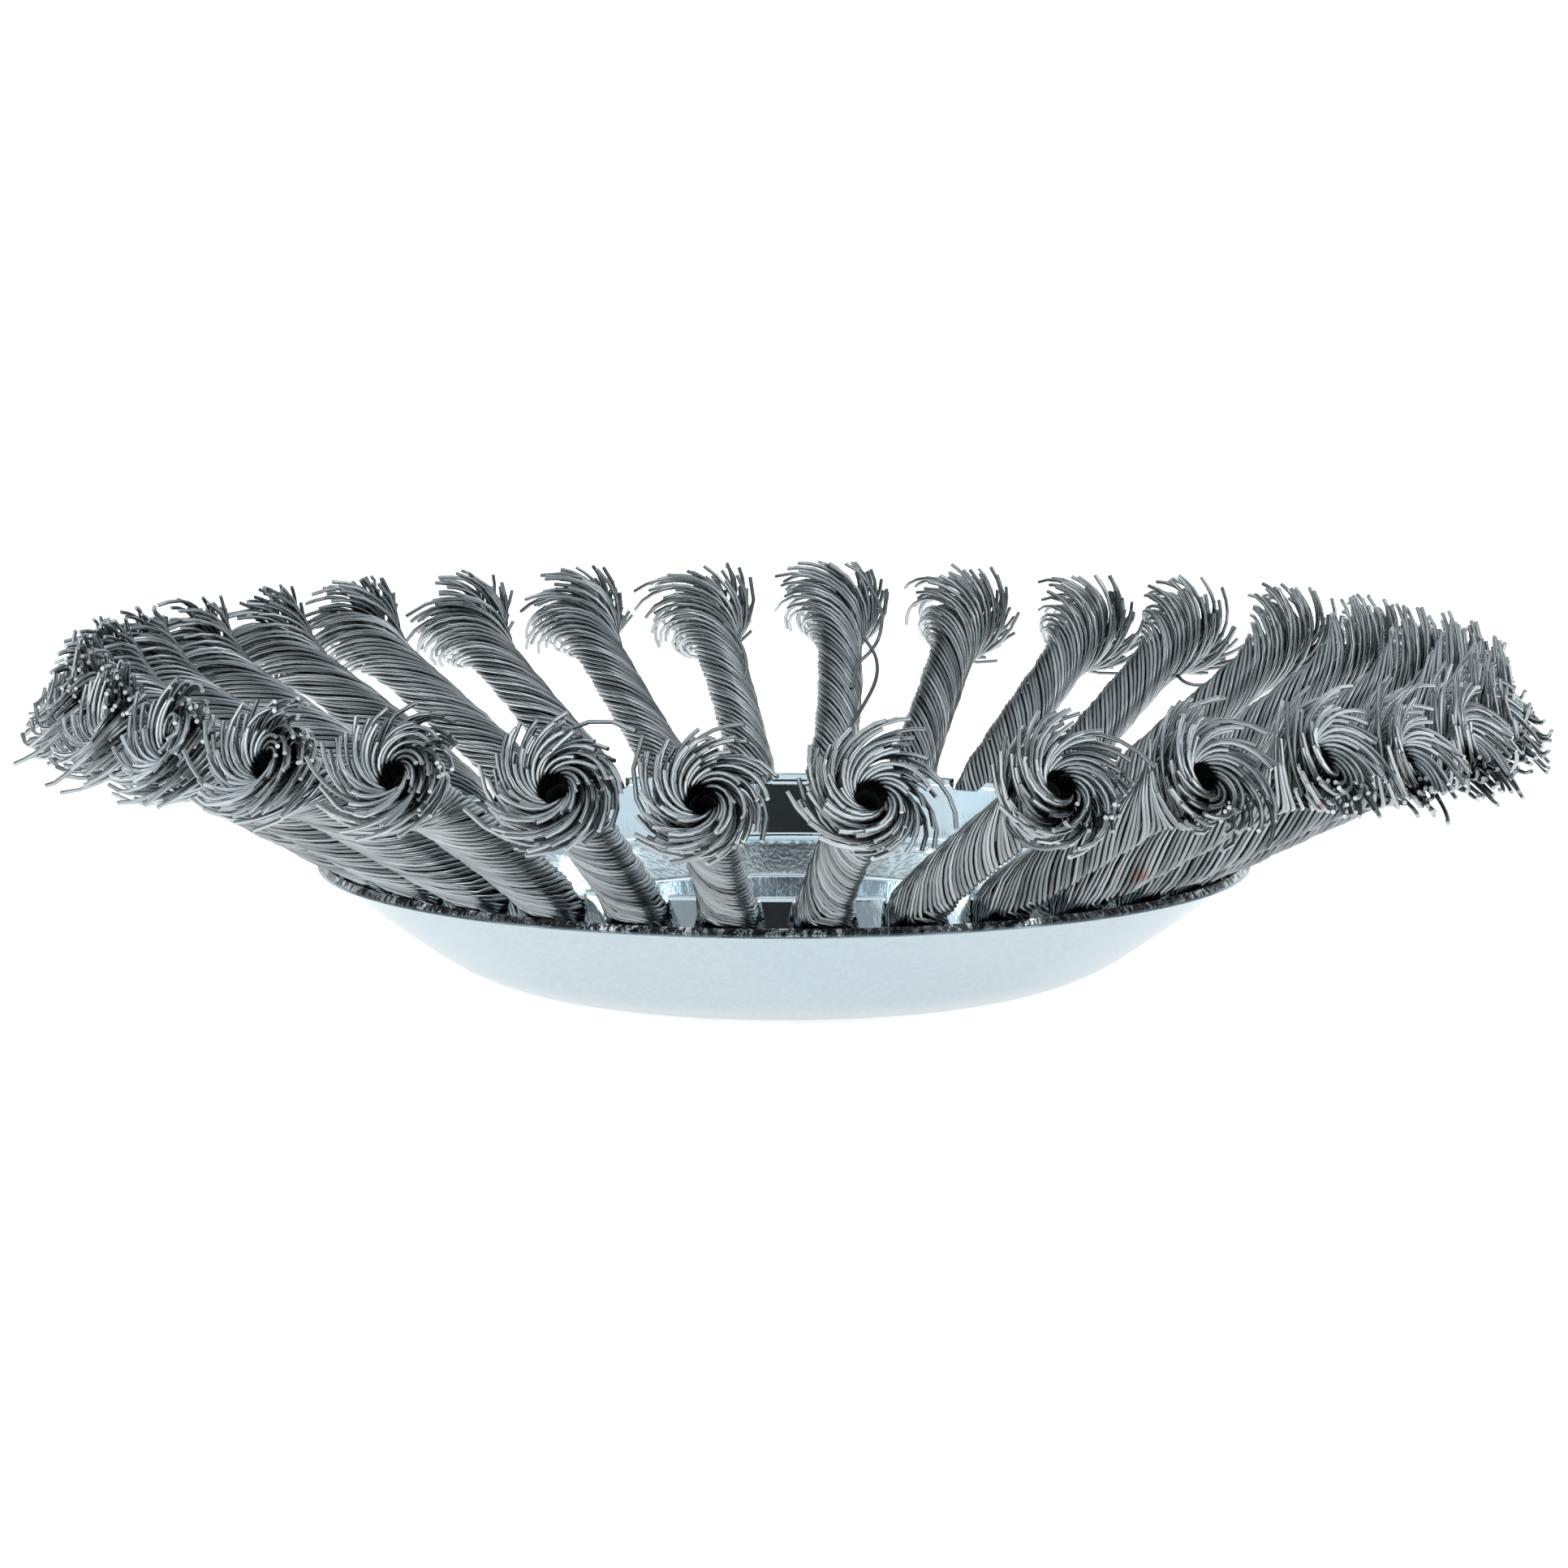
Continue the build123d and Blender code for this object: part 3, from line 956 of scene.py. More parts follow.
        def wall(lines: np.ndarray) -> np.ndarray:
            """Quads between lines of points on the upper and the lower skin, which are the first axis."""
            return quads_of(np.moveaxis(lines, 0, -2))

        floors, fingers, dips = (np.stack(pair) for pair in zip(*skins))
        free = fingers[:, :, self.dip_rows:]
        mesh.faces += [wall(closed(floors[:, 0]))[:, ::-1], wall(free[..., 0])[:, ::-1]]
        mesh.faces += [wall(free[..., -1]), wall(free[:, :, -1]), wall(dips[:, :, -1])]
        piece = mesh.build("plate_sheet")
        weld(piece)
        piece.data.materials.append(self.plating.material())
        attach(piece, BODY)
        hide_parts("inner_plate")
        return piece


# Knots


@dataclass(frozen=True)
class WireLayer:
    """One layer of a knot's wires, by its distance from the knot's axis in the shank and at the frayed tip.

    It starts, frays and ends at distances along the axis, opens by a power of the distance frayed and curls
    by an angle. Its wires are brighter than the knot's others by tone, a painted highlight.
    """

    wires: int
    shank_reach: float
    tip_reach: float
    start: float
    fray_start: float
    end: float
    opening: float
    curl: float
    segments: int
    tone: float = 0.0


@dataclass(frozen=True)
class Disorder:
    """How far a knot's wires stray from their pattern: spreads of random draws, rates and shares."""

    bow: float = 0.35
    start: float = 0.3
    end: float = 0.85
    eagerness: float = 0.08
    eager_range: Pair = (0.80, 1.14)
    wild_share: float = 0.05
    wild_range: Pair = (0.04, 0.12)
    spacing: float = 0.3
    depth: float = 0.03
    splay: float = 0.17
    wobble: float = 0.04
    wobble_rate: float = 0.35
    wobble_growth: float = 2.5
    wobble_range: Pair = (4.0, 12.0)
    drift: float = 0.024
    drift_rate: float = 0.16
    drift_range: Pair = (2.0, 10.0)
    knot_tone: Pair = (0.5, 0.05)
    wire_tone: float = 0.21
    stained_share: float = 0.008
    stain: float = 0.35


@dataclass
class Knots:
    """The circle of twisted knots, each a bundle of wires that leaves a slot, twists left-handed and frays.

    A knot's stand is its lean along the circle and its rise, in degrees, and its bend is how far its tip has
    bent counterclockwise and up. A loose wire goes through places, each a distance along its knot's axis and
    two distances off it. The knots are numbered counterclockwise from the first slot after -Y.
    """

    cup: OuterCup
    count: int = 32
    disorder: Disorder = Disorder()
    wire_radius: float = 0.295
    wire_sides: int = 6
    twist: float = math.radians(11.0)
    shank_radius: float = 3.4
    strands: int = 5
    strand_groove: float = 0.2
    shank_length: float = 41.0
    axis_margins: Pair = (8.0, 6.0)
    axis_points: int = 221
    leg_range: Pair = (-3.0, 4.0)
    row_bunching: float = 0.10
    fray_limit: float = 1.25
    throat_half_width: float = 3.8
    throat_half_thickness: float = 2.9
    throat_setback: float = 1.0
    throat_flatness: float = 0.5
    flat_range: Pair = (1.0, 10.0)
    root_half_width: float = 3.5
    root_half_thickness: float = 2.1
    section_places: tuple[float, float, float] = (-6.0, 0.0, 7.0)
    ring_wire_radius: float = 1.0
    seat_gap: float = 0.1
    box_margin: float = 0.35
    least_spread: float = 0.2
    core_share: float = 0.88
    core_rows: tuple[float, ...] = (*np.linspace(-3.0, 34.0, 16), 36.0, 37.0)
    core_outline: tuple[Pair, ...] = ((-3.0, 2.85), (30.0, 2.80), (34.0, 2.6), (37.0, 2.0))
    hole_outline: tuple[Pair, ...] = ((37.0, 1.485), (35.0, 1.32), (31.0, 0.02))
    core_columns: int = 14
    # painted highlight added towards every wire's tip, over a share of its length
    painted_tip_highlight: float = 0.22
    painted_tip_range: Pair = (0.72, 0.92)
    brightest: float = 1.1
    stray_tone: float = 0.15
    stray_steps: int = 8
    sharp_angle: float = 80.0
    seed: int = 20
    layers: tuple[WireLayer, ...] = (
        WireLayer(27, 3.14, 7.8, -4.0, 29.0, 40.4, 2.0, 0.60, 26),
        WireLayer(25, 2.60, 7.4, 27.0, 33.5, 41.8, 2.0, 0.75, 18),
        WireLayer(23, 2.25, 6.5, 32.0, 37.0, 42.6, 1.9, 0.95, 18),
        # The innermost layer is brighter: a painted highlight on the ring round the hole at the tip.
        WireLayer(19, 1.98, 5.3, 34.0, 40.0, 42.9, 1.35, 1.15, 18, tone=0.35),
    )
    stands: tuple[Pair, ...] = (
        (2.5, 27.0), (6.0, 27.5), (8.0, 27.5), (9.0, 28.0), (6.0, 26.5), (6.0, 27.0), (3.5, 28.5),
        (0.5, 29.0), (2.0, 30.5), (2.5, 30.5), (1.0, 31.0), (1.5, 30.0), (3.0, 29.0), (0.5, 28.0),
        (1.0, 29.5), (1.0, 31.0), (5.5, 30.0), (8.0, 30.5), (8.0, 30.0), (9.5, 31.0), (7.5, 30.5),
        (5.5, 30.0), (2.5, 30.5), (0.0, 30.5), (-1.0, 30.0), (-2.5, 29.5), (-3.5, 29.0), (-2.5, 28.5),
        (0.5, 27.5), (2.5, 28.5), (4.5, 27.5), (2.5, 26.5),
    )
    bends: tuple[tuple[int, Pair], ...] = (
        (1, (0.6, 0.4)), (2, (2.6, 0.8)), (3, (2.1, 0.6)), (4, (2.4, 1.0)), (5, (1.3, 0.0)),
        (10, (-1.0, 0.0)), (11, (-1.8, 0.0)), (12, (-1.9, 0.0)), (15, (1.0, 0.0)), (16, (2.2, 0.3)),
        (17, (1.4, 0.0)), (18, (1.1, 0.0)), (19, (0.9, 0.0)), (20, (2.1, 0.0)), (21, (2.2, 0.0)),
        (22, (2.2, 0.0)), (23, (1.8, 0.0)), (29, (-1.3, 0.4)), (30, (-1.3, 0.0)), (31, (-0.3, 0.4)),
        (32, (-0.2, 0.2)),
    )
    strays: tuple[tuple[int, tuple[Place, ...]], ...] = (
        (16, ((17.0, -2.1, 2.6), (22.6, -2.9, 2.6), (25.7, -5.0, 3.0), (28.0, -6.4, 4.0), (32.5, -7.0, 5.0),
              (36.9, -5.8, 6.0), (40.2, -4.1, 6.8), (42.3, -2.0, 6.9))),
        (16, ((6.6, -1.9, 2.4), (11.0, -3.4, 2.6), (17.3, -5.6, 3.6), (22.0, -5.7, 4.4), (26.2, -4.0, 5.0))),
        (17, ((31.0, -1.0, 4.5), (28.9, -2.1, 4.0), (25.0, -2.7, 3.5), (21.0, -2.3, 3.0), (18.6, -1.1, 2.6))),
        (13, ((33.8, -0.3, -1.0), (32.4, -2.1, -2.0), (31.3, -4.2, -3.0), (31.4, -6.8, -3.5),
              (33.0, -8.4, -3.5))),
        (2, ((34.0, -3.1, -0.4), (38.0, -6.2, -3.9), (41.0, -6.4, -7.3), (42.0, -4.4, -8.6),
             (42.5, -1.6, -8.4))),
    )

    def __post_init__(self) -> None:
        """Takes the anchor ring's place from the CAD node: the legs start at its wire's middle."""
        low, high = (np.array(corner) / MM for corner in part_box("anchor_ring"))
        self.eye = np.array([high[0] - self.ring_wire_radius, 0.0, (high[2] + low[2]) / 2])

    def throat(self, rise: float) -> np.ndarray:
        """Where a knot's axis passes over the rim's inner edge, standing off by its half thickness.

        Args:
            rise: the knot's rise, radians.

        Returns:
            The place, for a knot at +X.
        """
        off = self.throat_half_thickness + self.seat_gap
        radius = self.cup.edge_radius - off * math.sin(rise) - self.throat_setback * math.cos(rise)
        height = self.cup.edge_height + off * math.cos(rise) - self.throat_setback * math.sin(rise)
        return np.array([radius, 0.0, height])

    def axis_line(self, stand: Pair, bow: float, bend: Pair) -> Line:
        """A knot's centre line, for a knot at +X.

        The direction turns smoothly from the leg, which comes from the anchor ring, to the shank's own
        direction, and the line is the running sum of its directions. A small bow and a bend, which grows as
        the square of the distance, are added across it.

        Args:
            stand: the knot's lean and rise, degrees.
            bow: how far the shank bows sideways in its middle, millimetres.
            bend: how far its tip has bent counterclockwise and up, millimetres.

        Returns:
            Distances along the line from the throat, points, and the two directions across it.
        """
        lean, rise = np.radians(stand)
        throat = self.throat(rise)
        leg = unit(throat - self.eye)
        axis = np.array([math.cos(rise) * math.cos(lean), math.cos(rise) * math.sin(lean), math.sin(rise)])
        before, beyond = self.axis_margins
        s = np.linspace(-before, self.shank_length + beyond, self.axis_points)
        blend = smoothstep(*self.leg_range, s)[:, None]
        direction = unit(leg * (1 - blend) + axis * blend)
        steps = np.diff(s)[:, None] * (direction[1:] + direction[:-1]) / 2
        line = np.concatenate([np.zeros((1, 3)), np.cumsum(steps, axis=0)])
        line += throat - np.array([np.interp(0.0, s, line[:, k]) for k in range(3)])
        side = unit(np.array([0.0, 1.0, 0.0]) - direction * direction[:, 1:2])
        up = np.cross(direction, side)
        share = np.clip(s / self.shank_length, 0, None)
        line = line + side * (bow * np.sin(np.clip(share, 0, 1) * math.pi) + bend[0] * share**2)[:, None]
        line = line + up * (bend[1] * share**2)[:, None]
        return s, line, side, up

    def around(
        self, line: Line, s: np.ndarray, across: np.ndarray, above: np.ndarray
    ) -> tuple[np.ndarray, np.ndarray]:
        """Points that stand off a knot's axis.

        Args:
            line: the knot's centre line.
            s: distances along it.
            across: how far each point stands to the side.
            above: how far it stands up.

        Returns:
            The axis's points, and the points off it.
        """
        centre, side, up = (
            np.stack([np.interp(s, line[0], part[:, k]) for k in range(3)], -1) for part in line[1:]
        )
        return centre, centre + side * across[..., None] + up * above[..., None]

    def bundle_section(self, s: np.ndarray) -> tuple[np.ndarray, np.ndarray]:
        """Half width and half thickness of the bundle: an oval root that rounds out.

        Args:
            s: distances along the axis.

        Returns:
            Both, as shares of the shank's radius.
        """
        wide = np.array([self.root_half_width, self.throat_half_width, self.shank_radius])
        thick = np.array([self.root_half_thickness, self.throat_half_thickness, self.shank_radius])
        width, thickness = (np.interp(s, self.section_places, sizes) for sizes in (wide, thick))
        return width / self.shank_radius, thickness / self.shank_radius

    def flattened(self, angle: np.ndarray, s: np.ndarray) -> tuple[np.ndarray, np.ndarray]:
        """Cosine and sine of an angle, raised to a power below 1 where the bundle lies on the rim.

        Args:
            angle: the angle round the axis, radians.
            s: distances along the axis.

        Returns:
            The two values.
        """
        power = 1 - self.throat_flatness * (1 - smoothstep(*self.flat_range, s))
        power = np.where(np.sin(angle) < 0, power, 1.0)
        across, above = np.cos(angle), np.sin(angle)
        return np.sign(across) * np.abs(across) ** power, np.sign(above) * np.abs(above) ** power

    def wire_paths(
        self, layer: WireLayer, line: Line, random: np.random.Generator
    ) -> tuple[np.ndarray, np.ndarray]:
        """Centre lines of a layer's wires.

        A wire turns about the axis by twist times distance, left-handed, and by curl times the logarithm of
        its reach where it frays. Its reach grows from the shank to the tip as a power, opening, of the
        distance frayed, and is less in the grooves between strands: groove (1 - |cos(strands angle / 2)|).

        Args:
            layer: the layer.
            line: the knot's centre line.
            random: the knot's own random numbers.

        Returns:
            The knot's axis beside each point, and the wires' points: wires, points and coordinates.
        """
        n, spread = layer.wires, self.disorder

        def draw(deviation: float, middle: float = 0.0) -> np.ndarray:
            """A normal draw for each wire."""
            return random.normal(middle, deviation, (n, 1))

        share = np.linspace(0, 1, layer.segments + 1)
        share = share + self.row_bunching * np.sin(math.pi * share)
        start = layer.start + draw(spread.start)
        end = layer.end + draw(spread.end)
        s = start + (end - start) * share
        frayed = np.clip((s - layer.fray_start) / (layer.end - layer.fray_start), 0, self.fray_limit)
        eager = np.clip(draw(spread.eagerness, 1.0), *spread.eager_range)
        wild = (random.random((n, 1)) < spread.wild_share) * random.uniform(*spread.wild_range, (n, 1))
        first = np.arange(n)[:, None] * (math.tau / n) + draw(spread.spacing / n)
        groove = self.strand_groove * (1 - np.abs(np.cos(first * self.strands / 2)))
        shank = layer.shank_reach + draw(spread.depth) - groove
        reach = shank + (layer.tip_reach * (eager + wild) - layer.shank_reach) * frayed**layer.opening
        angle = first - self.twist * s - layer.curl * np.log(reach / shank)
        angle = angle + draw(spread.splay) * frayed**2
        wobble = draw(spread.wobble) * np.sin(s * spread.wobble_rate + random.uniform(0, math.tau, (n, 1)))
        wobble = wobble * (1 + spread.wobble_growth * frayed)
        reach = reach + wobble * smoothstep(*spread.wobble_range, s)
        drift = draw(spread.drift) * np.sin(s * spread.drift_rate + random.uniform(0, math.tau, (n, 1)))
        angle = angle + drift * smoothstep(*spread.drift_range, s)
        wide, thick = self.bundle_section(s)
        across, above = self.flattened(angle, s)
        return self.around(line, s, reach * wide * across, reach * thick * above)

    def stray_path(self, places: Sequence[Place], line: Line) -> tuple[np.ndarray, np.ndarray]:
        """A loose wire's line through its places.

        Between the places b and c, with the neighbours a and d, it is a Catmull-Rom curve:
        b + t (c - a) / 2 + t^2 (a - 5 b / 2 + 2 c - d / 2) + t^3 (3 (b - c) + d - a) / 2.

        Args:
            places: the places.
            line: the knot's centre line.

        Returns:
            The knot's axis beside each point, and the wire's points: one wire, points and coordinates.
        """
        stops = np.array(places)
        padded = np.concatenate([2 * stops[:1] - stops[1:2], stops, 2 * stops[-1:] - stops[-2:-1]])
        t = np.linspace(0, len(stops) - 1, self.stray_steps * len(stops))
        k = np.minimum(t.astype(int), len(stops) - 2)
        t = (t - k)[:, None]
        a, b, c, d = (padded[k + j] for j in range(4))
        path = b + t * (c - a) / 2 + t**2 * (a - 2.5 * b + 2 * c - 0.5 * d) + t**3 * (3 * (b - c) + d - a) / 2
        centre, points = self.around(line, *path.T)
        return centre[None], points[None]

    def turned(self, points: np.ndarray, azimuth: float) -> np.ndarray:
        """Points turned about the brush's axis by an angle in degrees."""
        cos, sin = math.cos(math.radians(azimuth)), math.sin(math.radians(azimuth))
        return points @ np.array([[cos, sin, 0.0], [-sin, cos, 0.0], [0.0, 0.0, 1.0]])

    def inside_box(self, centre: np.ndarray, paths: np.ndarray) -> np.ndarray:
        """Draws a wire in towards the knot's axis by one factor where it would leave the CAD model's box.

        Args:
            centre: the knot's axis beside each point.
            paths: wires, points and coordinates.

        Returns:
            The new points.
        """
        low, high = (np.array(corner) / MM for corner in CAD_BOX)
        away = paths - centre
        room = np.where(away > 0, high - self.box_margin - centre, low + self.box_margin - centre)
        moves = np.abs(away) > 1e-6
        ratio = np.where(moves, room / np.where(moves, away, 1.0), 1.0)
        factor = np.clip(ratio, self.least_spread, 1.0).min(axis=(1, 2), keepdims=True)
        return centre + away * factor

    def tubes(self, paths: np.ndarray, centre: np.ndarray) -> np.ndarray:
        """Tubes of the wire's radius along paths.

        At each point the ring lies across the path: one direction is the part of the outward direction from
        the knot's axis that is square to the path, and the other is square to both.

        Args:
            paths: wires, points and coordinates.
            centre: the knot's axis beside each point.

        Returns:
            The points: wires, points along a wire, points round it and coordinates.
        """
        tangent = unit(np.gradient(paths, axis=1))
        out = unit(paths - centre)
        out = unit(out - tangent * np.sum(out * tangent, -1, keepdims=True))
        other = np.cross(tangent, out)
        a = np.arange(self.wire_sides)[:, None] * (math.tau / self.wire_sides)
        ring = out[:, :, None] * np.cos(a) + other[:, :, None] * np.sin(a)
        return paths[:, :, None] + self.wire_radius * ring

    def core(self, line: Line) -> np.ndarray:
        """The near-black fill inside the bundle, painted shade, a tube that narrows to a blind hole at the
        tip.

        Args:
            line: the knot's centre line.

        Returns:
            Its points: rows, columns and coordinates.
        """
        places, reaches = np.transpose(self.core_outline)
        hole_places, hole_reaches = np.transpose(self.hole_outline)
        s = np.concatenate([self.core_rows, hole_places])[:, None]
        outside = np.interp(self.core_rows, places, reaches) * self.core_share
        reach = np.concatenate([outside, hole_reaches])[:, None]
        wide, thick = self.bundle_section(s)
        a = np.arange(self.core_columns) * (math.tau / self.core_columns)
        return self.around(line, s, reach * wide * np.cos(a), reach * thick * np.sin(a))[1]

    def knot(self, number: int, materials: Sequence[bpy.types.Material]) -> bpy.types.Object:
        """One knot: its layers of wires, its loose wires and its core, which is painted shade.

        Args:
            number: the knot's number, from 1.
            materials: the wires' and the core's.

        Returns:
            The knot's object.
        """
        random = np.random.default_rng(self.seed + number - 1)
        spread = self.disorder
        azimuth = -90 + (number - 0.5) * 360 / self.count
        bend = dict(self.bends).get(number, (0.0, 0.0))
        line = self.axis_line(self.stands[number - 1], random.normal(0, spread.bow), bend)
        knot_tone = random.normal(*spread.knot_tone)
        bundles = [(knot_tone + layer.tone, *self.wire_paths(layer, line, random)) for layer in self.layers]
        own_strays = [places for owner, places in self.strays if owner == number]
        bundles += [(self.stray_tone, *self.stray_path(places, line)) for places in own_strays]
        mesh = Patchwork()
        for middle_tone, centre, paths in bundles:
            centre, paths = self.turned(centre, azimuth), self.turned(paths, azimuth)
            paths = self.inside_box(centre, paths)
            tone = np.clip(random.normal(middle_tone, spread.wire_tone, len(paths)), 0, 1)[:, None]
            # Painted highlight: each wire grows brighter towards its tip, where the flares are.
            tone = tone + self.painted_tip_highlight * smoothstep(*self.painted_tip_range, np.linspace(0, 1, paths.shape[1]))
            stain = (random.random(len(paths)) < spread.stained_share) * spread.stain
            tone, stain = np.clip(tone, 0, self.brightest)[..., None], stain[:, None, None]
            mesh.faces += tube_faces(mesh.add(self.tubes(paths, centre), tone=tone, stain=stain))
        wire_faces = sum(len(faces) for faces in mesh.faces)
        mesh.faces += tube_faces(mesh.add(self.turned(self.core(line), azimuth), tone=0.0, stain=0.0))
        piece = mesh.build(f"wires_{number:02d}", self.sharp_angle)
        for material in materials:
            piece.data.materials.append(material)
        slots = np.zeros(len(piece.data.polygons), np.int32)
        slots[wire_faces:] = 1
        piece.data.polygons.foreach_set("material_index", slots)
        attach(piece, BODY)
        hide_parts(f"knot_{number:02d}")
        return piece

    def build(self) -> list[bpy.types.Object]:
        """All knots, one object each."""
        materials = [SpringWire().material(), PaintedShadeCore().material()]
        return [self.knot(number, materials) for number in range(1, self.count + 1)]


# Studio


@dataclass(frozen=True)
class Lamp:
    """A rectangular soft lamp in metres and watts; mirrored says if reflections show it."""

    name: str
    place: Place
    size: Pair
    power: float
    aim: Place
    mirrored: bool = True


@dataclass(frozen=True)
class Card:
    """A card that only reflections see: a patch of a sphere, by azimuth and elevation in degrees.

    Its distance is a share of the cards' own distance.
    """

    name: str
    azimuths: Pair
    elevations: Pair
    colour: Colour
    away: float = 1.0


@dataclass
class Studio:
    """The floor, the soft lamps, the world and the camera."""

    distance: float = 640.0
    aim_height: float = 25.4
    elevation: float = math.radians(8.0)
    azimuth: float = math.radians(0.9)
    focal_pixels: float = 5888.0
    image_pixels: float = 1932.0
    sensor: float = 36.0
    clip_start: float = 0.05
    clip_end: float = 30.0
    floor_size: float = 4000.0
    floor_drop: float = 0.02
    floor_colour: Colour = (0.86, 0.87, 0.88)
    floor_pale: Colour = (0.90, 0.90, 0.90)
    floor_far: Colour = (0.16, 0.165, 0.17)
    floor_mottle: Noise = Noise(3.0)
    far_mask: Pair = (0.22, 0.12)
    camera_glow: float = 0.60
    mirror_glow: float = 0.45
    world_colour: Colour = (0.84, 0.92, 0.97)
    card_distance: float = 1000.0
    card_rows: int = 7
    card_columns: int = 13
    card_mottle: Noise = Noise(4.0)
    card_contrast: float = 1.4
    lamps: tuple[Lamp, ...] = (
        Lamp("top_lamp", (0.0, 0.3, 1.1), (1.3, 0.9), 9.0, (0.0, 0.0, 0.0), mirrored=False),
        Lamp("left_lamp", (-1.1, -0.5, 0.6), (0.5, 0.9), 5.0, (0.0, 0.0, 0.03)),
        Lamp("right_lamp", (1.1, -0.4, 0.6), (0.5, 0.9), 5.0, (0.0, 0.0, 0.03)),
    )
    cards: tuple[Card, ...] = (
        Card("lens_card", (-101.0, -81.0), (42.0, 62.0), (0.010, 0.010, 0.010)),
        Card("wall_card", (-105.0, -80.5), (8.0, 24.0), (0.010, 0.010, 0.010)),
        Card("shoulder_card", (-80.0, -56.0), (54.0, 70.0), (0.03, 0.03, 0.03), 1.02),
        Card("hood_card", (-126.0, -60.0), (42.0, 62.0), (0.25, 0.255, 0.26), 1.03),
        Card("rear_card", (82.0, 97.0), (9.0, 24.0), (0.50, 0.52, 0.53)),
        Card("rear_hood_card", (40.0, 140.0), (30.0, 50.0), (0.21, 0.215, 0.22)),
        Card("left_card", (140.0, 200.0), (4.0, 30.0), (0.05, 0.05, 0.055)),
        Card("right_card", (-20.0, 40.0), (4.0, 30.0), (0.05, 0.05, 0.055)),
        Card("left_pale_card", (200.0, 217.0), (4.0, 40.0), (0.60, 0.66, 0.69), 0.98),
        Card("right_pale_card", (-37.0, -20.0), (4.0, 40.0), (0.60, 0.66, 0.69), 0.98),
    )

    def camera(self) -> None:
        """Adds the camera, at the fitted distance from a point on the brush's axis."""
        data = bpy.data.cameras.new("camera")
        data.sensor_width = self.sensor
        data.lens = self.focal_pixels / self.image_pixels * self.sensor
        data.clip_start, data.clip_end = self.clip_start, self.clip_end
        camera = bpy.data.objects.new("camera", data)
        flat = self.distance * math.cos(self.elevation)
        camera.location = (
            flat * math.sin(self.azimuth) * MM,
            -flat * math.cos(self.azimuth) * MM,
            (self.aim_height + self.distance * math.sin(self.elevation)) * MM,
        )
        camera.rotation_euler = (math.pi / 2 - self.elevation, 0.0, self.azimuth)
        bpy.context.scene.collection.objects.link(camera)
        bpy.context.scene.camera = camera

    def floor(self) -> None:
        """Adds a pale floor, white to the camera where no shadow falls, and looked through from below."""
        ends = np.array([-1.0, 1.0]) * self.floor_size / 2
        mesh = Patchwork()
        corners = np.stack([*np.meshgrid(ends, ends), np.full((2, 2), -self.floor_drop)], -1)
        mesh.faces.append(quads_of(mesh.add(corners)))
        floor = mesh.build("floor")
        shader = Shader("floor_white")
        camera = shader.node("ShaderNodeLightPath", output="Is Camera Ray")
        glossy = shader.node("ShaderNodeLightPath", output="Is Glossy Ray")
        below = shader.node("ShaderNodeNewGeometry", output="Backfacing")
        place = shader.place()
        behind = shader.node("ShaderNodeSeparateXYZ", links={0: place}, output="Y").above(*self.far_mask)
        colour = shader.mix(shader.noise(place, self.floor_mottle), self.floor_colour, self.floor_pale)
        colour = shader.mix(glossy * behind, colour, self.floor_far)
        glow = camera * self.camera_glow + glossy * (1.0 - behind) * self.mirror_glow
        glow = shader.mix(glow, (0.0, 0.0, 0.0), (1.0, 1.0, 1.0))
        seen = 1.0 - below * camera
        floor.data.materials.append(shader.finish(
            Base_Color=colour, Roughness=0.9, Emission_Color=glow, Emission_Strength=1.0, Alpha=seen
        ))

    def lamp(self, lamp: Lamp) -> None:
        """Adds a lamp.

        Args:
            lamp: the lamp's place, size and power.
        """
        data = bpy.data.lights.new(lamp.name, "AREA")
        data.shape = "RECTANGLE"
        data.size, data.size_y = lamp.size
        data.energy = lamp.power
        light = bpy.data.objects.new(lamp.name, data)
        light.location = lamp.place
        light.visible_glossy = lamp.mirrored
        light.rotation_euler = (Vector(lamp.aim) - Vector(lamp.place)).to_track_quat("-Z", "Y").to_euler()
        bpy.context.scene.collection.objects.link(light)

    def card(self, card: Card) -> None:
        """Adds a card.

        Args:
            card: the card's place and colour.
        """
        azimuth = np.radians(np.linspace(*card.azimuths, self.card_columns))
        elevation = np.radians(np.linspace(*card.elevations, self.card_rows))[:, None]
        distance = self.card_distance * card.away
        mesh = Patchwork()
        points = ring_points(distance * np.cos(elevation), azimuth, distance * np.sin(elevation))
        mesh.faces.append(quads_of(mesh.add(points)))
        piece = mesh.build(card.name)
        shader = Shader(card.name)
        lighter = tuple(c * self.card_contrast for c in card.colour)
        tone = shader.mix(shader.noise(shader.place(), self.card_mottle), card.colour, lighter)
        piece.data.materials.append(shader.finish(Base_Color=tone, Roughness=1.0))
        piece.visible_camera = False
        piece.visible_shadow = False

    def world(self) -> None:
        """Adds a plain world, white to the camera and a cool grey to everything else."""
        world = bpy.data.worlds.new("studio")
        world.use_nodes = True
        nodes, links = world.node_tree.nodes, world.node_tree.links
        path = nodes.new("ShaderNodeLightPath")
        mix = nodes.new("ShaderNodeMix")
        mix.data_type = "RGBA"
        mix.inputs[6].default_value = (*self.world_colour, 1.0)
        mix.inputs[7].default_value = (1.0, 1.0, 1.0, 1.0)
        links.new(path.outputs["Is Camera Ray"], mix.inputs[0])
        links.new(mix.outputs[2], nodes["Background"].inputs["Color"])
        bpy.context.scene.world = world

    def build(self) -> None:
        """Puts the studio together."""
        bpy.context.scene.view_settings.view_transform = "Standard"
        self.camera()
        self.floor()
        self.world()
        for lamp in self.lamps:
            self.lamp(lamp)
        for card in self.cards:
            self.card(card)


def dress_ring() -> None:
    """Gives the hidden anchor ring, a CAD node that stays, its finish."""
    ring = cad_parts["anchor_ring"]
    ring.data.materials.clear()
    ring.data.materials.append(HoopSteel().material())


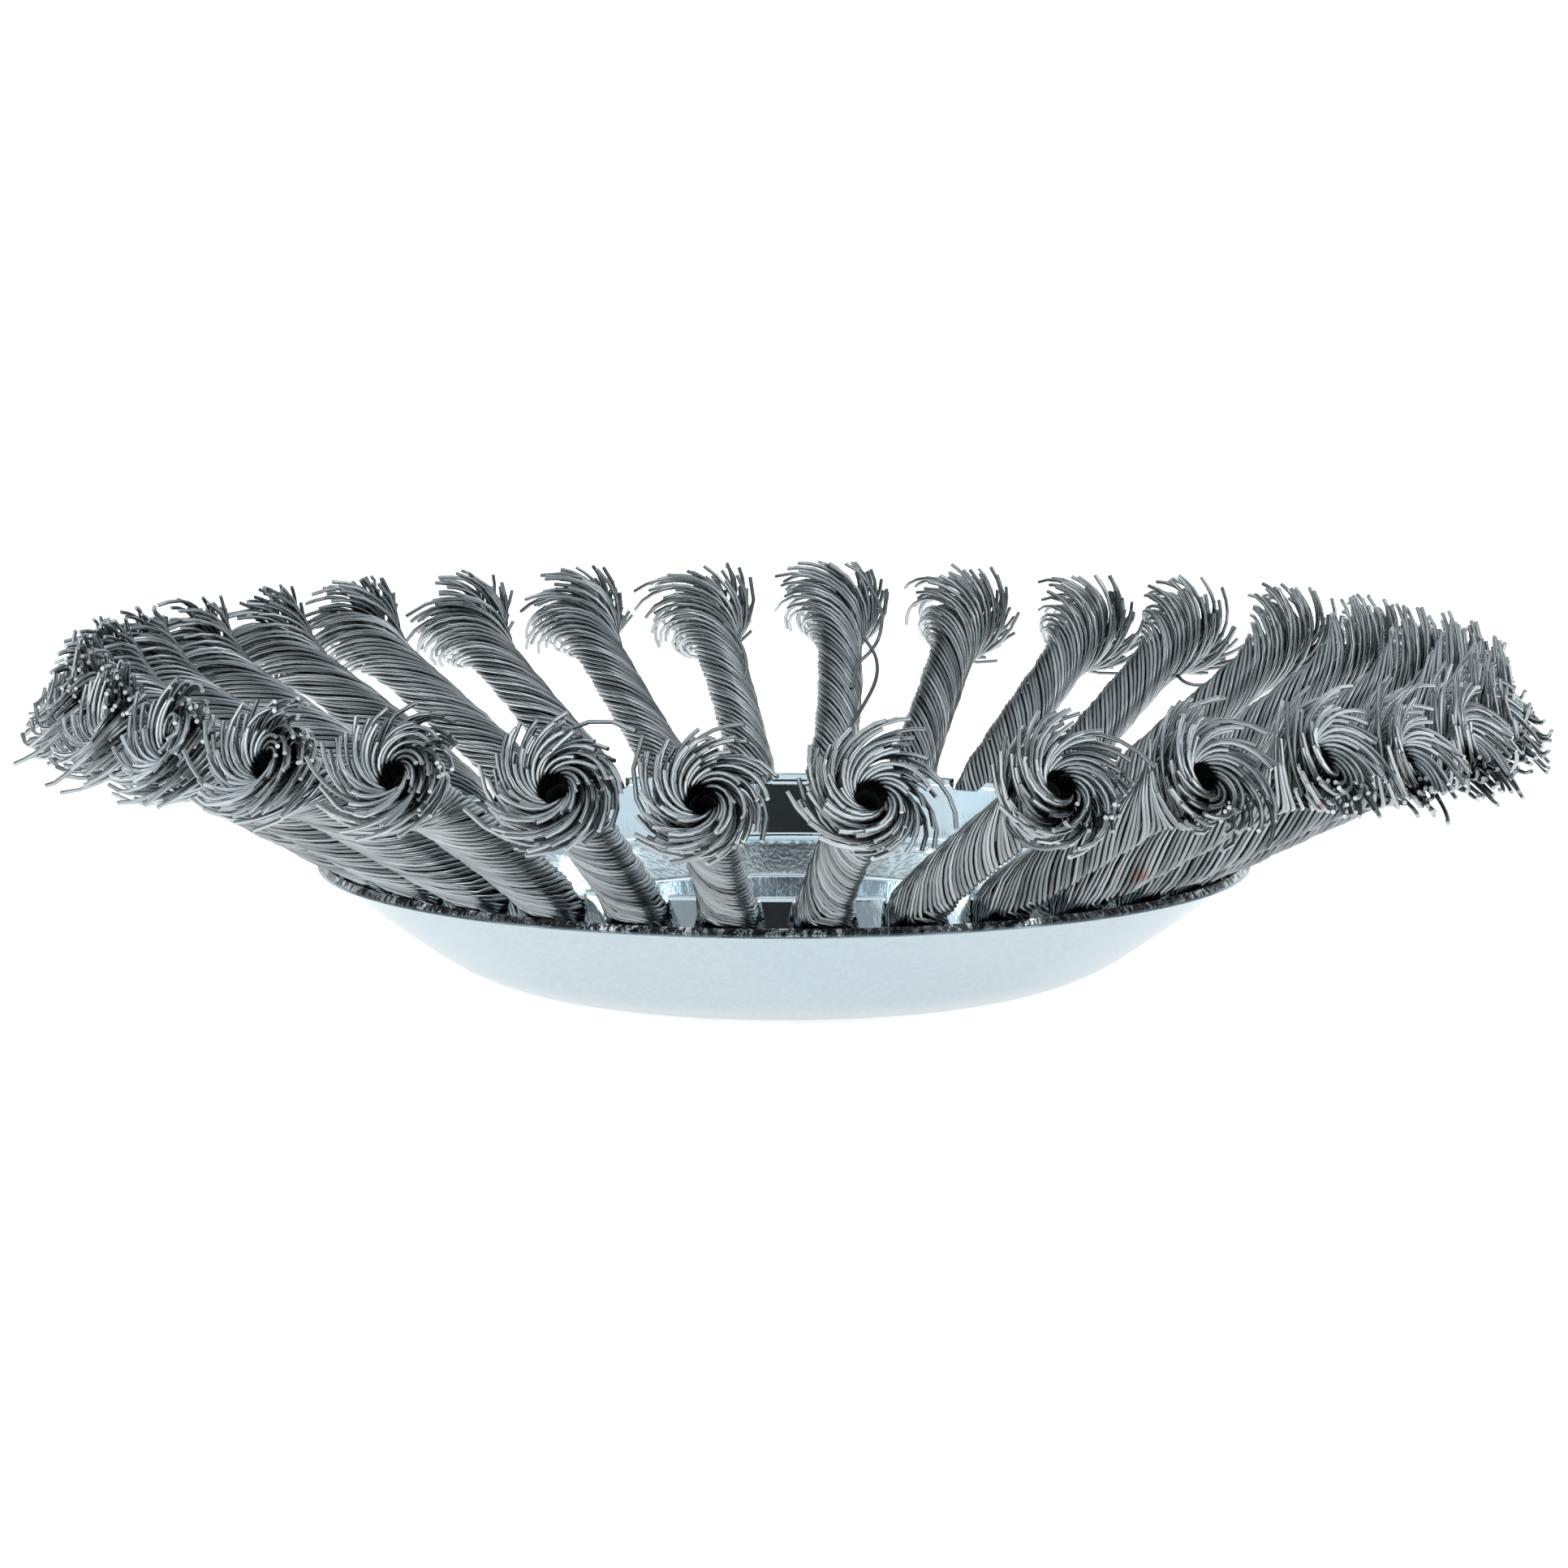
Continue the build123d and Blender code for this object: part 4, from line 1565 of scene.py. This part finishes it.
def main() -> None:
    """Builds the brush and its studio and reports each piece."""
    logging.basicConfig(level=logging.INFO, format="%(name)s: %(message)s")
    Studio().build()
    cup = OuterCup()
    pieces = [cup.build(), InnerPlate(cup).build()]
    pieces += Knots(cup).build()
    dress_ring()
    for piece in pieces:
        piece.data.calc_loop_triangles()
        log.info("%s: %d triangles", piece.name, len(piece.data.loop_triangles))


if __name__ == "__main__":
    main()
